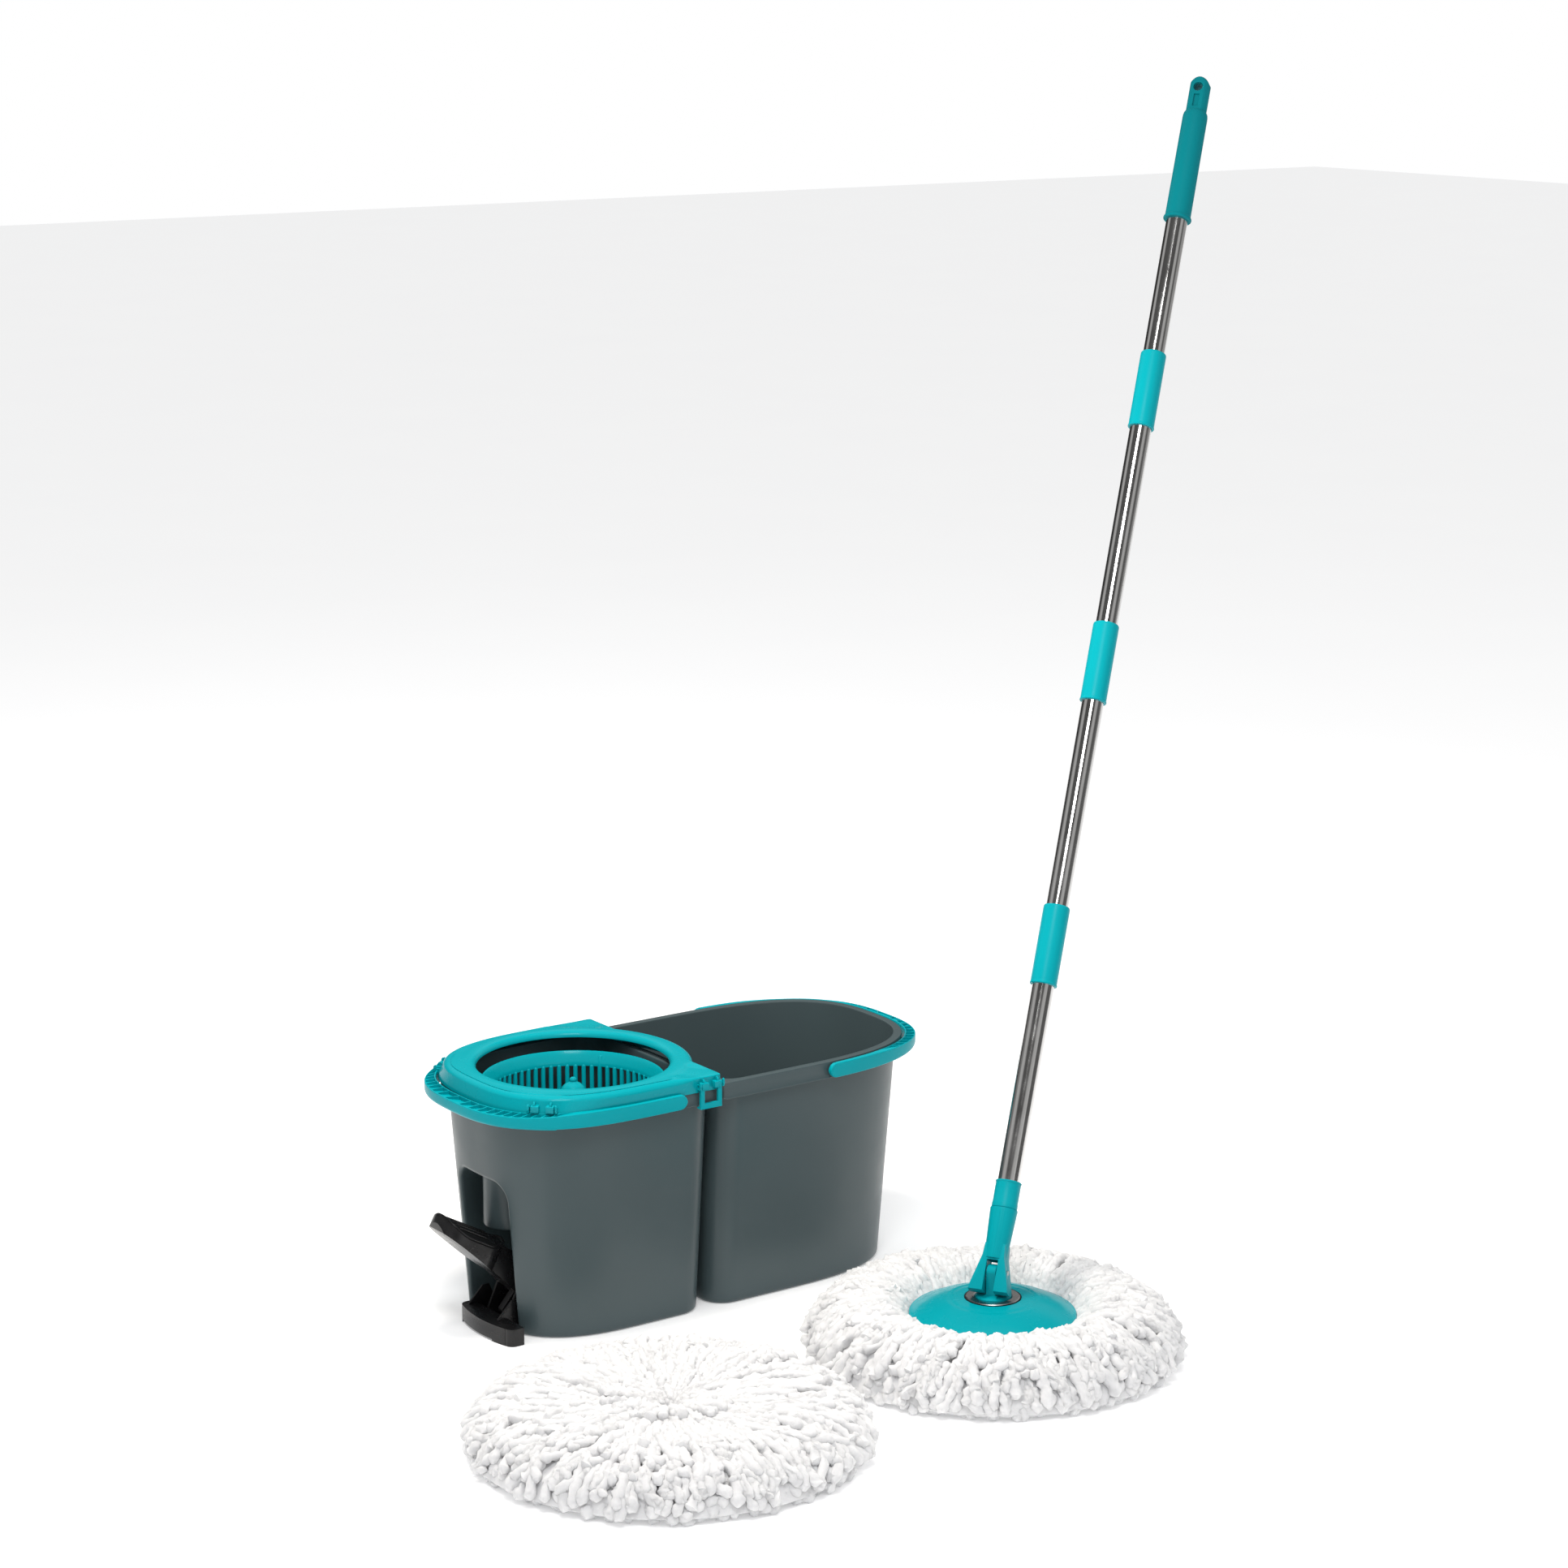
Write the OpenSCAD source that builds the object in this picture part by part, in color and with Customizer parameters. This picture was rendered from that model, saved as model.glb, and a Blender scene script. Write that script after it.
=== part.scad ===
/* [Bucket] */
// Half of the width across the rim
rim_half_w = 116.3; // [114:0.1:120]
// Height of the rim above the floor
rim_z = 237; // [235:1:239]
// Where the two bucket halves meet, along the length
junction_x = -25.5; // [-28:0.5:-23]
// Straight part and round end of the rinse half
rinse_d = [92, 177.4]; // [60:0.1:200]
// Straight part and round end of the wringer half
wringer_d = [76, 142.5]; // [60:0.1:200]
// Power of the curve of the round ends, 2 is an ellipse
curve_power = 2.8; // [2.4:0.1:3.2]
// How far the wall stands in at the rim and at the base
wall_inset = [5.5, 22]; // [4:0.5:30]
// Thickness of the bucket walls
wall = 2.4; // [2:0.1:3]
// Height of the rim's flange
flange_h = 17; // [15:1:18]

/* [Cover and basket] */
// Radius of the hole in the cover
cover_hole_r = 94.6; // [93:0.1:96]
// Outer radius of the cover's ring
cover_ring_r = 117; // [115:0.5:117]
// Height of the cover's deck
cover_z = 250.5; // [249:0.5:253]
// Radius of the basket's lip
basket_lip_r = 90; // [88:0.5:91]
// Radius inside the basket's wall
basket_r = 82.8; // [82:0.1:84]
// Heights of the basket's floor and lip
basket_z = [164, 233]; // [160:1:240]
// Number of slots round the basket
basket_slots = 64; // [48:4:72]

/* [Pedal drive] */
// Gear module
gear_m = 1.25; // [1.25:0.25:1.5]
// Middle of the pedal across the bucket
pedal_y = -15.5; // [-16:0.5:-15]
// Pedal pivot, along and up
pedal_pivot = [-200, 40]; // [-210:1:50]

/* [Mop] */
// Foot of the swivel pin's axis on the floor
mop_xy = [127.2, -348.3]; // [-400:0.1:200]
// Height of the handle's pivot
pivot_z = 82; // [82:0.5:84]
// Radius of the mop plate
plate_r = 80; // [78:0.5:80]
// Radius of the mop head's fringe
fringe_r = 180; // [170:1:185]
// Lean of the handle from upright, and the way it leans
handle_lean = [29.8, 32.66]; // [0:0.1:60]
// Outer radius of the steel tubes
tube_r = 11; // [10.5:0.1:11]
// Ends of the three tube connectors along the handle
connector_t = [[283, 363], [575, 657], [869, 951]]; // [200:1:1000]
// Ends of the grip along the handle
grip_t = [1100.5, 1223]; // [1000:0.5:1250]
// Top of the handle, from the pivot
handle_end = 1261; // [1255:1:1270]

/* [Spare refill] */
// Middle of the spare refill on the floor
spare_xy = [-250.5, -359]; // [-400:0.5:0]
// Radius of the spare refill
spare_r = 186; // [170:1:190]

/* [Hidden] */
$fn = 96;

TEAL = [0.0, 0.66, 0.69];
GREY = [0.32, 0.36, 0.38];
BLACK = [0.06, 0.06, 0.065];
STEEL = [0.75, 0.75, 0.76];
WHITE = [0.95, 0.95, 0.94];
CREAM = [0.85, 0.84, 0.78];

EPS = 0.01;
CURVE_STEPS = 36;
CORNER_STEPS = 5;
BACKLASH = 0.25;
PRESSURE = 25;
ADDENDUM = 0.8 * gear_m;
DEDENDUM = 1.1 * gear_m;
PITCH = PI * gear_m;

// Teeth of the drive: the pedal's sector, the idler's pinion and wheel, the clutch gear
sector_teeth = 48;
pinion_teeth = 12;
wheel_teeth = 36;
clutch_teeth = 18;
sector_r = gear_m * sector_teeth / 2;
pinion_r = gear_m * pinion_teeth / 2;
wheel_r = gear_m * wheel_teeth / 2;
clutch_r = gear_m * clutch_teeth / 2;
spindle_xy = [-122.5, 0];
idler_xy = [spindle_xy[0] - wheel_r - clutch_r, 0];
rack_pitch_z = pedal_pivot[1] - sector_r;

// Heights inside the drive bay
base_z = [2, 5];
rack_z = [5.4, 8.6];
gear_z = [12, 16.6];
cup_z = [17.4, 19, 24.4];
floor_z = [27, 30];
chimney_z = 200;
spindle_r = 4;
run = 0.05;

// The doorway in the wringer half: half width, height, corner radius, and its back wall
door_half_w = 43;
door_h = 152;
door_corner = 18;
door_back_x = -168;
// Half-round column that hangs in the doorway above the pedal: along, radius, lowest height
door_column = [-199, 24, 98];

// Bail handles: band height, inner and outer clearance from the rim
bail_z = [221.5, 236.5];
rinse_bail_in = [2.3, 3.4];
wringer_bail_in = [2.3, 5.5];
bail_out = [6.9, 16];
bail_pin_z = 229;
bail_pin_r = 4;
rinse_bail_x = 133.5;
wringer_bail_x = 52;

latch_x = -42;
latch_hinge = [121, 241];
screw_places = [[-182, 62], [-182, -62], [-90, 62], [-90, -62]];
pilot_r = 1.6;

// ---------------------------------------------------------------- outlines

function spow(t, p) = sign(t) * pow(abs(t), p);

function end_curve(b, straight, a) = [
    for (i = [0:CURVE_STEPS])
        let (t = -90 + 180 * i / CURVE_STEPS, p = 2 / curve_power)
            [straight + a * spow(cos(t), p), b * spow(sin(t), p)]
];

function corner(cx, cy, r, from) = [
    for (i = [0:CORNER_STEPS])
        let (t = from + 90 * i / CORNER_STEPS)
            [cx + r * cos(t), cy + r * sin(t)]
];

// Plan of one half with the junction at x = 0 and its round end towards +x
function half_plan(d, inset, junction_in, corner_r) =
    let (b = rim_half_w - inset) concat(
        end_curve(b, d[0], d[1] - inset),
        corner(junction_in + corner_r, b - corner_r, corner_r, 90),
        corner(junction_in + corner_r, -b + corner_r, corner_r, 180)
    );

// side is 1 for the rinse half and -1 for the wringer half
module half(side) {
    translate([junction_x, 0, 0])
        mirror([side < 0 ? 1 : 0, 0, 0])
            children();
}

module slab(z, d, inset, junction_in = 0.6, corner_r = 6)
    translate([0, 0, z[0]])
        linear_extrude(z[1] - z[0])
            polygon(half_plan(d, inset, junction_in, corner_r));

function inset_at(z) = wall_inset[1] + (wall_inset[0] - wall_inset[1]) * z / rim_z;
function junction_at(z) = 5 - 2.5 * z / rim_z;

module wall_slice(z, d, grow, corner_r = 26)
    slab([z, z + 0.4], d, inset_at(z) + grow, junction_at(z) + grow, corner_r - grow);

// Tapered form of one half, moved in by grow and rounded along its foot
module half_form(d, grow, z_low, z_high, foot_r)
    hull() {
        wall_slice(z_low, d, grow + foot_r);
        wall_slice(z_low + foot_r * 0.3, d, grow + foot_r * 0.3);
        wall_slice(z_low + foot_r, d, grow);
        wall_slice(z_high - 0.4, d, grow);
    }

// Flange round the rim: skirt, top plate and a small ledge along its foot
module flange_form(d)
    difference() {
        union() {
            slab([rim_z - flange_h, rim_z], d, 0);
            slab([rim_z - flange_h, rim_z - flange_h + 1.6], d, -0.6, 0.3);
        }
        slab([rim_z - flange_h - 1, rim_z - 2.6], d, wall, 0.6 + wall);
    }

module bail_bores(x, r)
    for (s = [-1, 1])
        translate([x, s * (rim_half_w - 1.8), bail_pin_z])
            rotate([90, 0, 0])
                cylinder(r = r, h = 8, center = true);

// ---------------------------------------------------------------- gears

function involute(rb, r) = let (a = acos(min(1, rb / r))) tan(a) * 180 / PI - a;
function polar(r, a) = [r * cos(a), r * sin(a)];

// Half the angle of a tooth at radius r
function half_tooth(n, r) =
    let (rp = gear_m * n / 2, rb = rp * cos(PRESSURE))
        90 / n - BACKLASH / 2 / rp * 180 / PI + involute(rb, rp) - involute(rb, r);

function tooth(n, c) =
    let (rp = gear_m * n / 2, rr = rp - DEDENDUM, ra = rp + ADDENDUM)
    let (r0 = max(rp * cos(PRESSURE), rr + 0.05), k = 3)
        concat(
            [polar(rr, c - half_tooth(n, r0))],
            [for (i = [0:k]) let (r = r0 + (ra - r0) * i / k) polar(r, c - half_tooth(n, r))],
            [for (i = [k:-1:0]) let (r = r0 + (ra - r0) * i / k) polar(r, c + half_tooth(n, r))],
            [polar(rr, c + half_tooth(n, r0))]
        );

module gear2d(n, phase = 0)
    polygon([for (i = [0:n - 1]) for (p = tooth(n, phase + 360 * i / n)) p]);

// Rack outline with its pitch line along x and a space centred on x = 0
function rack_tooth(c) =
    let (t = PITCH / 4 - BACKLASH / 2)
    let (root = t + DEDENDUM * tan(PRESSURE), tip = t - ADDENDUM * tan(PRESSURE)) [
        [c - root, -DEDENDUM], [c - tip, ADDENDUM], [c + tip, ADDENDUM], [c + root, -DEDENDUM]
    ];

module rack2d(first, last, depth)
    polygon(concat(
        [for (i = [first:last]) for (p = rack_tooth((i + 0.5) * PITCH)) p],
        [[(last + 1) * PITCH, -DEDENDUM], [(last + 1) * PITCH, -depth],
         [first * PITCH, -depth], [first * PITCH, -DEDENDUM]]
    ));

// ---------------------------------------------------------------- rinse half

module rinse_bucket() color(GREY)
    difference() {
        half(1) difference() {
            union() {
                half_form(rinse_d, 0, 0, rim_z, 5);
                flange_form(rinse_d);
            }
            half_form(rinse_d, wall, 3, rim_z + 2, 4);
            bail_bores(rinse_bail_x, bail_pin_r + 0.06);
        }
        // Notches in the joining wall that take the wringer half's hooks
        for (s = [-1, 1])
            translate([junction_x - 1, s * 80 - 8, 229])
                cube([15, 16, 10]);
    }

// Plan of the solid inside a carrying handle's curve, grown by offs at side and end
module bail_plan(d, offs)
    polygon(concat(
        end_curve(rim_half_w + offs[0], d[0], d[1] + offs[1]),
        [[0, rim_half_w + offs[0]], [0, -rim_half_w - offs[0]]]
    ));

// Plan of the handle's band from its pivots round the end
module bail_band(d, pin_x, offs)
    difference() {
        bail_plan(d, bail_out);
        bail_plan(d, offs);
        translate([-50, -200])
            square([pin_x + 50, 400]);
    }

// Plan of the open pockets along the round end, parted by ribs
module bail_pockets(d, offs)
    difference() {
        bail_plan(d, bail_out - [1.9, 2.4]);
        bail_plan(d, offs + [1.9, 2.2]);
        translate([-50, -200])
            square([50 + d[0] + d[1] * 0.55, 400]);
        for (a = [-78:6:78])
            translate([d[0], 0])
                rotate(a)
                    translate([0, -0.8])
                        square([260, 1.6]);
    }

// U-shaped carrying handle that follows the rim
module bail(d, pin_x, offs) {
    floor_h = 3;
    translate([0, 0, bail_z[0]])
        linear_extrude(floor_h)
            bail_band(d, pin_x, offs);
    translate([0, 0, bail_z[0] + floor_h])
        linear_extrude(bail_z[1] - bail_z[0] - floor_h)
            difference() {
                bail_band(d, pin_x, offs);
                bail_pockets(d, offs);
            }
    for (s = [-1, 1])
        bail_end(pin_x, s);
}

module bail_end(pin_x, s)
    translate([pin_x, s * (rim_half_w + rinse_bail_in[0]), bail_pin_z])
        rotate([-90 * s, 0, 0]) {
            cylinder(r = (bail_z[1] - bail_z[0]) / 2, h = bail_out[0] - rinse_bail_in[0] - 0.15);
            translate([0, 0, -6])
                cylinder(r = bail_pin_r, h = 6.5);
        }

module rinse_bail() color(TEAL) half(1) bail(rinse_d, rinse_bail_x, rinse_bail_in);
module wringer_bail() color(TEAL) half(-1) bail(wringer_d, wringer_bail_x, wringer_bail_in);

// ---------------------------------------------------------------- wringer half

// Arched doorway outline, grown by g
module door2d(g) {
    r = door_corner + g;
    w = door_half_w + g;
    top = door_h + g;
    translate([-w, -5])
        square([2 * w, top - r + 5]);
    translate([r - w, top - r - 1])
        square([2 * (w - r), r + 1]);
    for (s = [-1, 1])
        translate([s * (w - r), top - r])
            circle(r = r);
}

// Recess behind the doorway; its upper part is shallower and holds the column
module niche(g)
    difference() {
        translate([-260, 0, 0])
            rotate([90, 0, 90])
                linear_extrude(260 + door_back_x + g)
                    door2d(g);
        translate([door_column[0], 0, door_column[2] + g])
            cylinder(r = door_column[1] - g, h = 80);
        translate([door_column[0] + g, -60, door_column[2] + g])
            cube([40, 120, 80]);
    }

module screw_boss(p, z, r, pilot)
    translate([p[0], p[1], z[0]])
        difference() {
            cylinder(r = r, h = z[1] - z[0]);
            translate([0, 0, -EPS])
                cylinder(r = pilot, h = 16);
        }

module wringer_bucket() color(GREY)
    union() {
        difference() {
            union() {
                difference() {
                    half(-1) difference() {
                        union() {
                            half_form(wringer_d, 0, 0, rim_z, 5);
                            flange_form(wringer_d);
                        }
                        half_form(wringer_d, wall, floor_z[1], rim_z + 2, 4);
                        bail_bores(wringer_bail_x, bail_pin_r + 0.06);
                    }
                    // Bay for the drive below the floor
                    translate([0, 0, -12])
                        half(-1) half_form(wringer_d, wall + 4, 0, floor_z[0] + 12, 5);
                }
                intersection() {
                    niche(wall);
                    half(-1) half_form(wringer_d, EPS, 0, rim_z, 5);
                    translate([-300, -100, floor_z[0]])
                        cube([200, 200, 200]);
                }
                translate([spindle_xy[0], spindle_xy[1], floor_z[0]])
                    cylinder(r = 10, h = chimney_z - floor_z[0]);
            }
            niche(0);
            translate([spindle_xy[0], spindle_xy[1], floor_z[0] - 1])
                cylinder(r = 6, h = chimney_z);
        }
        for (p = screw_places)
            screw_boss(p, [base_z[1], floor_z[0] + 1], 5, pilot_r);
        screw_boss(idler_xy, [20.8, floor_z[0] + 1], 6, 3);
        // Hooks that hang over the rinse half's joining wall
        for (s = [-1, 1])
            translate([junction_x, s * 80 - 7, 0]) {
                translate([-4, 0, 229.6]) cube([12, 14, 2.4]);
                translate([5.8, 0, 212]) cube([2.2, 14, 20]);
            }
    }

// Two pairs of pointed lugs that hold a latch, middle at x = 0, outward is -y
module latch_lugs()
    for (s = [-1, 1], x = [6.5, 13.5])
        difference() {
            translate([s * x - 0.8, 0, 0])
                rotate([90, 0, 90])
                    linear_extrude(1.6)
                        polygon([[-117.2, 237.6], [-122.6, 237.6], [-122.9, 243.2],
                                 [-120.4, 248.4], [-117.2, 246]]);
            translate([0, -latch_hinge[0], latch_hinge[1]])
                rotate([0, 90, 0])
                    cylinder(r = 1.56, h = 60, center = true, $fn = 32);
        }

// U-shaped latch loop hanging from its hinge, with a lip that hooks under the flange
module latch() {
    y = -latch_hinge[0];
    difference() {
        union() {
            translate([-12.25, y - 1.5, 218.6])
                cube([24.5, 3, latch_hinge[1] - 218.6]);
            translate([-12.25, y - 1.5, 217.4])
                cube([24.5, 7, 1.9]);
            for (s = [-1, 1])
                translate([s * 10, y, latch_hinge[1]])
                    rotate([0, 90, 0])
                        cylinder(r = 2.5, h = 4.5, center = true);
        }
        translate([-7.75, y - 3, 223])
            cube([15.5, 6, 30]);
    }
    for (s = [-1, 1])
        translate([s * 10, y, latch_hinge[1]])
            rotate([0, 90, 0])
                cylinder(r = 1.5, h = 8.4, center = true, $fn = 32);
}

module front_latch() color(TEAL) translate([latch_x, 0, 0]) latch();
module back_latch() color(TEAL) translate([latch_x, 0, 0]) mirror([0, 1, 0]) latch();

// Frame of an end latch on the round end's corner, with -y pointing outward
module at_end_corner(s)
    translate([-214, s * 92.2, 0])
        rotate([0, 0, s > 0 ? -137.4 : -42.6])
            children();

module latch_band(z, inner)
    translate([0, 0, z[0]])
        linear_extrude(z[1] - z[0])
            difference() {
                bail_plan(wringer_d, [2.3, 2.3]);
                bail_plan(wringer_d, [inner, inner]);
            }

// Latches at the round end, curved with the rim behind the carrying handle
module end_latches() color(TEAL)
    for (s = [-1, 1])
        intersection() {
            half(-1) {
                latch_band([218.6, rim_z - 0.2], 0.8);
                latch_band([rim_z - 0.3, 242.6], 1.56);
            }
            at_end_corner(s) difference() {
                translate([-12.25, -15, 218.6])
                    cube([24.5, 30, 22]);
                translate([-7.75, -16, 223])
                    cube([15.5, 32, 30]);
            }
        }

module cover_plan(z, inset, corner_r = 1.5)
    half(-1) slab(z, wringer_d, inset - 1.5, 2 + inset, corner_r);

// Rolled edge of the cover's hole
module cover_lip() {
    top = cover_z;
    low = cover_z - 9;
    translate([spindle_xy[0], spindle_xy[1], 0])
        rotate_extrude()
            polygon(concat(
                [for (t = [0:15:90]) [cover_hole_r + 5.9 - 5.9 * cos(t), low + 9 * sin(t)]],
                [[cover_hole_r + 8, top], [cover_hole_r + 8, top - 2.5]],
                [for (t = [90:-15:0])
                    [cover_hole_r + 5.9 - 3.7 * cos(t), low + 6.5 * sin(t)]]
            ));
}

module cover_shell()
    difference() {
        union() {
            cover_plan([rim_z, cover_z - 3], 0);
            cover_plan([cover_z - 3 - EPS, cover_z], 1.2);
            translate([spindle_xy[0], spindle_xy[1], rim_z + 1])
                cylinder(r = cover_ring_r, h = cover_z - rim_z - 4);
            translate([spindle_xy[0], spindle_xy[1], rim_z + 1])
                cylinder(r = cover_ring_r - 2, h = cover_z - rim_z - 1);
        }
        cover_plan([rim_z - 1, cover_z - 2.5], wall + 0.4, 1);
        translate([spindle_xy[0], spindle_xy[1], rim_z])
            cylinder(r = cover_ring_r - wall - 1.6, h = cover_z - rim_z - 2.5);
        translate([spindle_xy[0], spindle_xy[1], rim_z])
            cylinder(r = cover_hole_r + 7, h = 20);
    }

// Collar under the cover that drops inside the bucket's rim
module cover_collar()
    difference() {
        cover_plan([231, cover_z - 2], 10.3, 24);
        cover_plan([230, cover_z], 12.3, 22);
        translate([spindle_xy[0], spindle_xy[1], 229])
            cylinder(r = cover_hole_r + 7, h = 24);
    }

module wringer_cover() color(TEAL) {
    cover_shell();
    cover_lip();
    cover_collar();
    for (s = [0, 1])
        translate([latch_x, 0, 0])
            mirror([0, s, 0])
                latch_lugs();
    // Lugs of the two latches at the round end
    for (s = [-1, 1])
        at_end_corner(s)
            for (x = [-13.5, -6.5, 6.5, 13.5])
                translate([x - 0.8, -1.2, 237.6])
                    cube([1.6, 4.2, 8]);
}

// ---------------------------------------------------------------- drive

// Foot plate under the doorway, with a bowed front edge and round front corners
foot_y = [-71.5, 23.5];
foot_bow = [-98, -24, 150];
foot_corner = [-234.4, 8];

module foot_plan() {
    r = foot_corner[1];
    intersection() {
        translate([foot_bow[0], foot_bow[1]])
            circle(r = foot_bow[2], $fn = 180);
        translate([-260, foot_y[0] + r])
            square([34, foot_y[1] - foot_y[0] - 2 * r]);
    }
    translate([foot_corner[0], foot_y[0]])
        square([-226 - foot_corner[0], foot_y[1] - foot_y[0]]);
    for (y = [foot_y[0] + r, foot_y[1] - r])
        translate([foot_corner[0], y])
            circle(r = r);
}

// Low gusset that stiffens the foot plate
module foot_gusset(y)
    translate([0, y + 2, 0])
        rotate([90, 0, 0])
            linear_extrude(2)
                polygon([[-237, 17], [-220, 34], [-213, 34], [-200, 4], [-226, 4]]);

// Side bracket that carries the pedal's axle
module bracket(y)
    translate([0, y + 3, 0])
        rotate([90, 0, 0])
            linear_extrude(3)
                polygon([[-228, 4], [-208, 47], [-205, 49], [-195, 49], [-192, 47], [-185, 4]]);

module drive_base() color(BLACK)
    difference() {
        union() {
            difference() {
                linear_extrude(17.5) foot_plan();
                // Relief under the foot between its end nubs
                translate([-252, -45, -1]) cube([24, 62, 3.2]);
            }
            translate([-228, -42.6, base_z[0]])
                cube([40, 66, base_z[1] - base_z[0]]);
            for (y = [-40, 14.7])
                foot_gusset(y);
            translate([-190, -68, base_z[0]])
                cube([110, 136, base_z[1] - base_z[0]]);
            for (y = [pedal_y - 19, pedal_y + 16])
                bracket(y);
            // Guide rails of the rack
            translate([-214, -22, base_z[0]]) cube([66, 2.1, 6.5]);
            translate([-214, -11.1, base_z[0]]) cube([32, 1.8, 6.2]);
            translate([spindle_xy[0], spindle_xy[1], base_z[0]])
                cylinder(r = 9, h = 8);
            // Ribs across the plate
            for (y = [-45, 40])
                translate([-180, y, base_z[0]]) cube([96, 2, 6]);
        }
        translate([pedal_pivot[0], pedal_y - 30, pedal_pivot[1]])
            rotate([-90, 0, 0])
                cylinder(r = 3, h = 60);
        translate([spindle_xy[0], spindle_xy[1], base_z[1]])
            cylinder(r = 6.5, h = 10);
        translate([idler_xy[0], idler_xy[1], 0])
            cylinder(r = 3, h = 10);
        for (p = screw_places)
            translate([p[0], p[1], 0])
                cylinder(r = pilot_r + 0.4, h = 10);
    }

module base_screws() color(STEEL)
    for (p = screw_places)
        translate([p[0], p[1], 0]) {
            translate([0, 0, 0.5]) cylinder(r = 4, h = 1.5);
            translate([0, 0, 1.5]) cylinder(r = pilot_r, h = 15);
        }

// Pedal pad: a crowned wedge cut to a long oval. Its frame starts at its upper tip, with x
// down its slope
pad_y = 7.5;
pad_tip = [-80, 84.3];
pad_slope = 29;
pad_half_w = 28.5;
pad_crown = 44;
pad_length = 78;

module pad_frame()
    translate([pad_tip[0], pad_y, pad_tip[1]])
        rotate([0, pad_slope, 0])
            children();

module pedal_pad()
    intersection() {
        translate([0, pad_y + pad_half_w, 0])
            rotate([90, 0, 0])
                linear_extrude(2 * pad_half_w)
                    polygon([[-20, 51], pad_tip, [-84, 80], [-84, 70], [-27, 15.9], [-14, 6],
                             [-10, 20]]);
        pad_frame()
            translate([0, 0, -80]) {
                translate([pad_half_w, 0, 0]) cylinder(r = pad_half_w, h = 100);
                translate([pad_half_w, -pad_half_w, 0])
                    cube([pad_length - 2 * pad_half_w, 2 * pad_half_w, 100]);
                translate([pad_length - pad_half_w, 0, 0]) cylinder(r = pad_half_w, h = 100);
            }
        pad_frame()
            translate([-20, 0, -pad_crown])
                rotate([0, 90, 0])
                    cylinder(r = pad_crown, h = 140, $fn = 128);
    }

// Ribs that give the shoe its grip, along the pad's slope
module pad_ribs()
    pad_frame()
        for (i = [-3:3])
            translate([10 + abs(i) * 1.5, i * 6 - 1, -4])
                cube([46 - abs(i) * 3, 2, 4.8 - i * i * 0.41]);

module pedal() color(BLACK)
    translate([pedal_pivot[0], pedal_y, pedal_pivot[1]])
        difference() {
            union() {
                pedal_pad();
                pad_ribs();
                // Lever from the pad down to the hub
                translate([0, 15, 0])
                    rotate([90, 0, 0])
                        linear_extrude(30)
                            polygon([[-50, 50], [-40, 30], [-22, 11], [-8, -5], [4, -8],
                                     [8, 4], [0, 14], [-12, 40], [-26, 50]]);
                rotate([90, 0, 0])
                    cylinder(r = 9, h = 30, center = true);
                translate([0, 4, 0])
                    rotate([90, 0, 0])
                        linear_extrude(8)
                            intersection() {
                                gear2d(sector_teeth);
                                polygon([[0, 0], 40 * [cos(228.75), sin(228.75)], [-10, -60],
                                         [10, -60], 40 * [cos(281.25), sin(281.25)]]);
                            }
            }
            rotate([90, 0, 0])
                cylinder(r = 3 + run, h = 80, center = true);
            // Room for the spring's coil at the hub's end
            translate([0, 15.1, 0])
                rotate([90, 0, 0])
                    difference() {
                        cylinder(r = 14, h = 7);
                        cylinder(r = 5, h = 7);
                    }
        }

module pedal_axle() color(STEEL)
    translate([pedal_pivot[0], pedal_y - 21, pedal_pivot[1]])
        rotate([-90, 0, 0])
            cylinder(r = 3, h = 42);

// Return spring: a coil round the hub's end with one leg on the base and one on the lever
module pedal_spring() color(STEEL)
    translate([pedal_pivot[0], pedal_y + 11.7, pedal_pivot[1]]) {
        for (i = [-1:1])
            translate([0, i * 1.7, 0])
                rotate([90, 0, 0])
                    rotate_extrude()
                        translate([6.6, 0]) circle(r = 0.7, $fn = 24);
        translate([6.6, -1.7, -30])
            cylinder(r = 0.7, h = 30, $fn = 24);
        for (i = [-1, 1])
            translate([-6.6, i * 0.85, 0])
                rotate([90, 0, 0])
                    cylinder(r = 0.7, h = 1.7, center = true, $fn = 24);
    }

module drive_rack() color(CREAM) {
    translate([pedal_pivot[0], pedal_y + 4, rack_pitch_z])
        rotate([90, 0, 0])
            linear_extrude(8)
                rack2d(-6, 1, rack_pitch_z - rack_z[0]);
    translate([idler_xy[0], -pinion_r, rack_z[0]])
        linear_extrude(4)
            rack2d(-6, 1, 8);
    translate([pedal_pivot[0] + 7, pedal_y, rack_z[0]])
        cube([14.5, 4, rack_z[1] - rack_z[0]]);
}

module idler_gear() color(CREAM)
    translate([idler_xy[0], idler_xy[1], 0])
        difference() {
            union() {
                translate([0, 0, rack_z[0]])
                    linear_extrude(gear_z[0] - rack_z[0] + EPS)
                        gear2d(pinion_teeth);
                translate([0, 0, gear_z[0]])
                    linear_extrude(gear_z[1] - gear_z[0])
                        gear2d(wheel_teeth);
                translate([0, 0, gear_z[0]])
                    cylinder(r = 6, h = 6.6);
            }
            cylinder(r = 3 + run, h = 40);
        }

module idler_axle() color(STEEL)
    translate([idler_xy[0], idler_xy[1], base_z[0]])
        cylinder(r = 3, h = 22);

module idler_clip() color(STEEL)
    translate([idler_xy[0], idler_xy[1], 19.2])
        difference() {
            cylinder(r = 5.6, h = 1);
            translate([0, 0, -1]) cylinder(r = 3, h = 3);
            translate([0, -1.2, -1]) cube([8, 2.4, 3]);
        }

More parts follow.
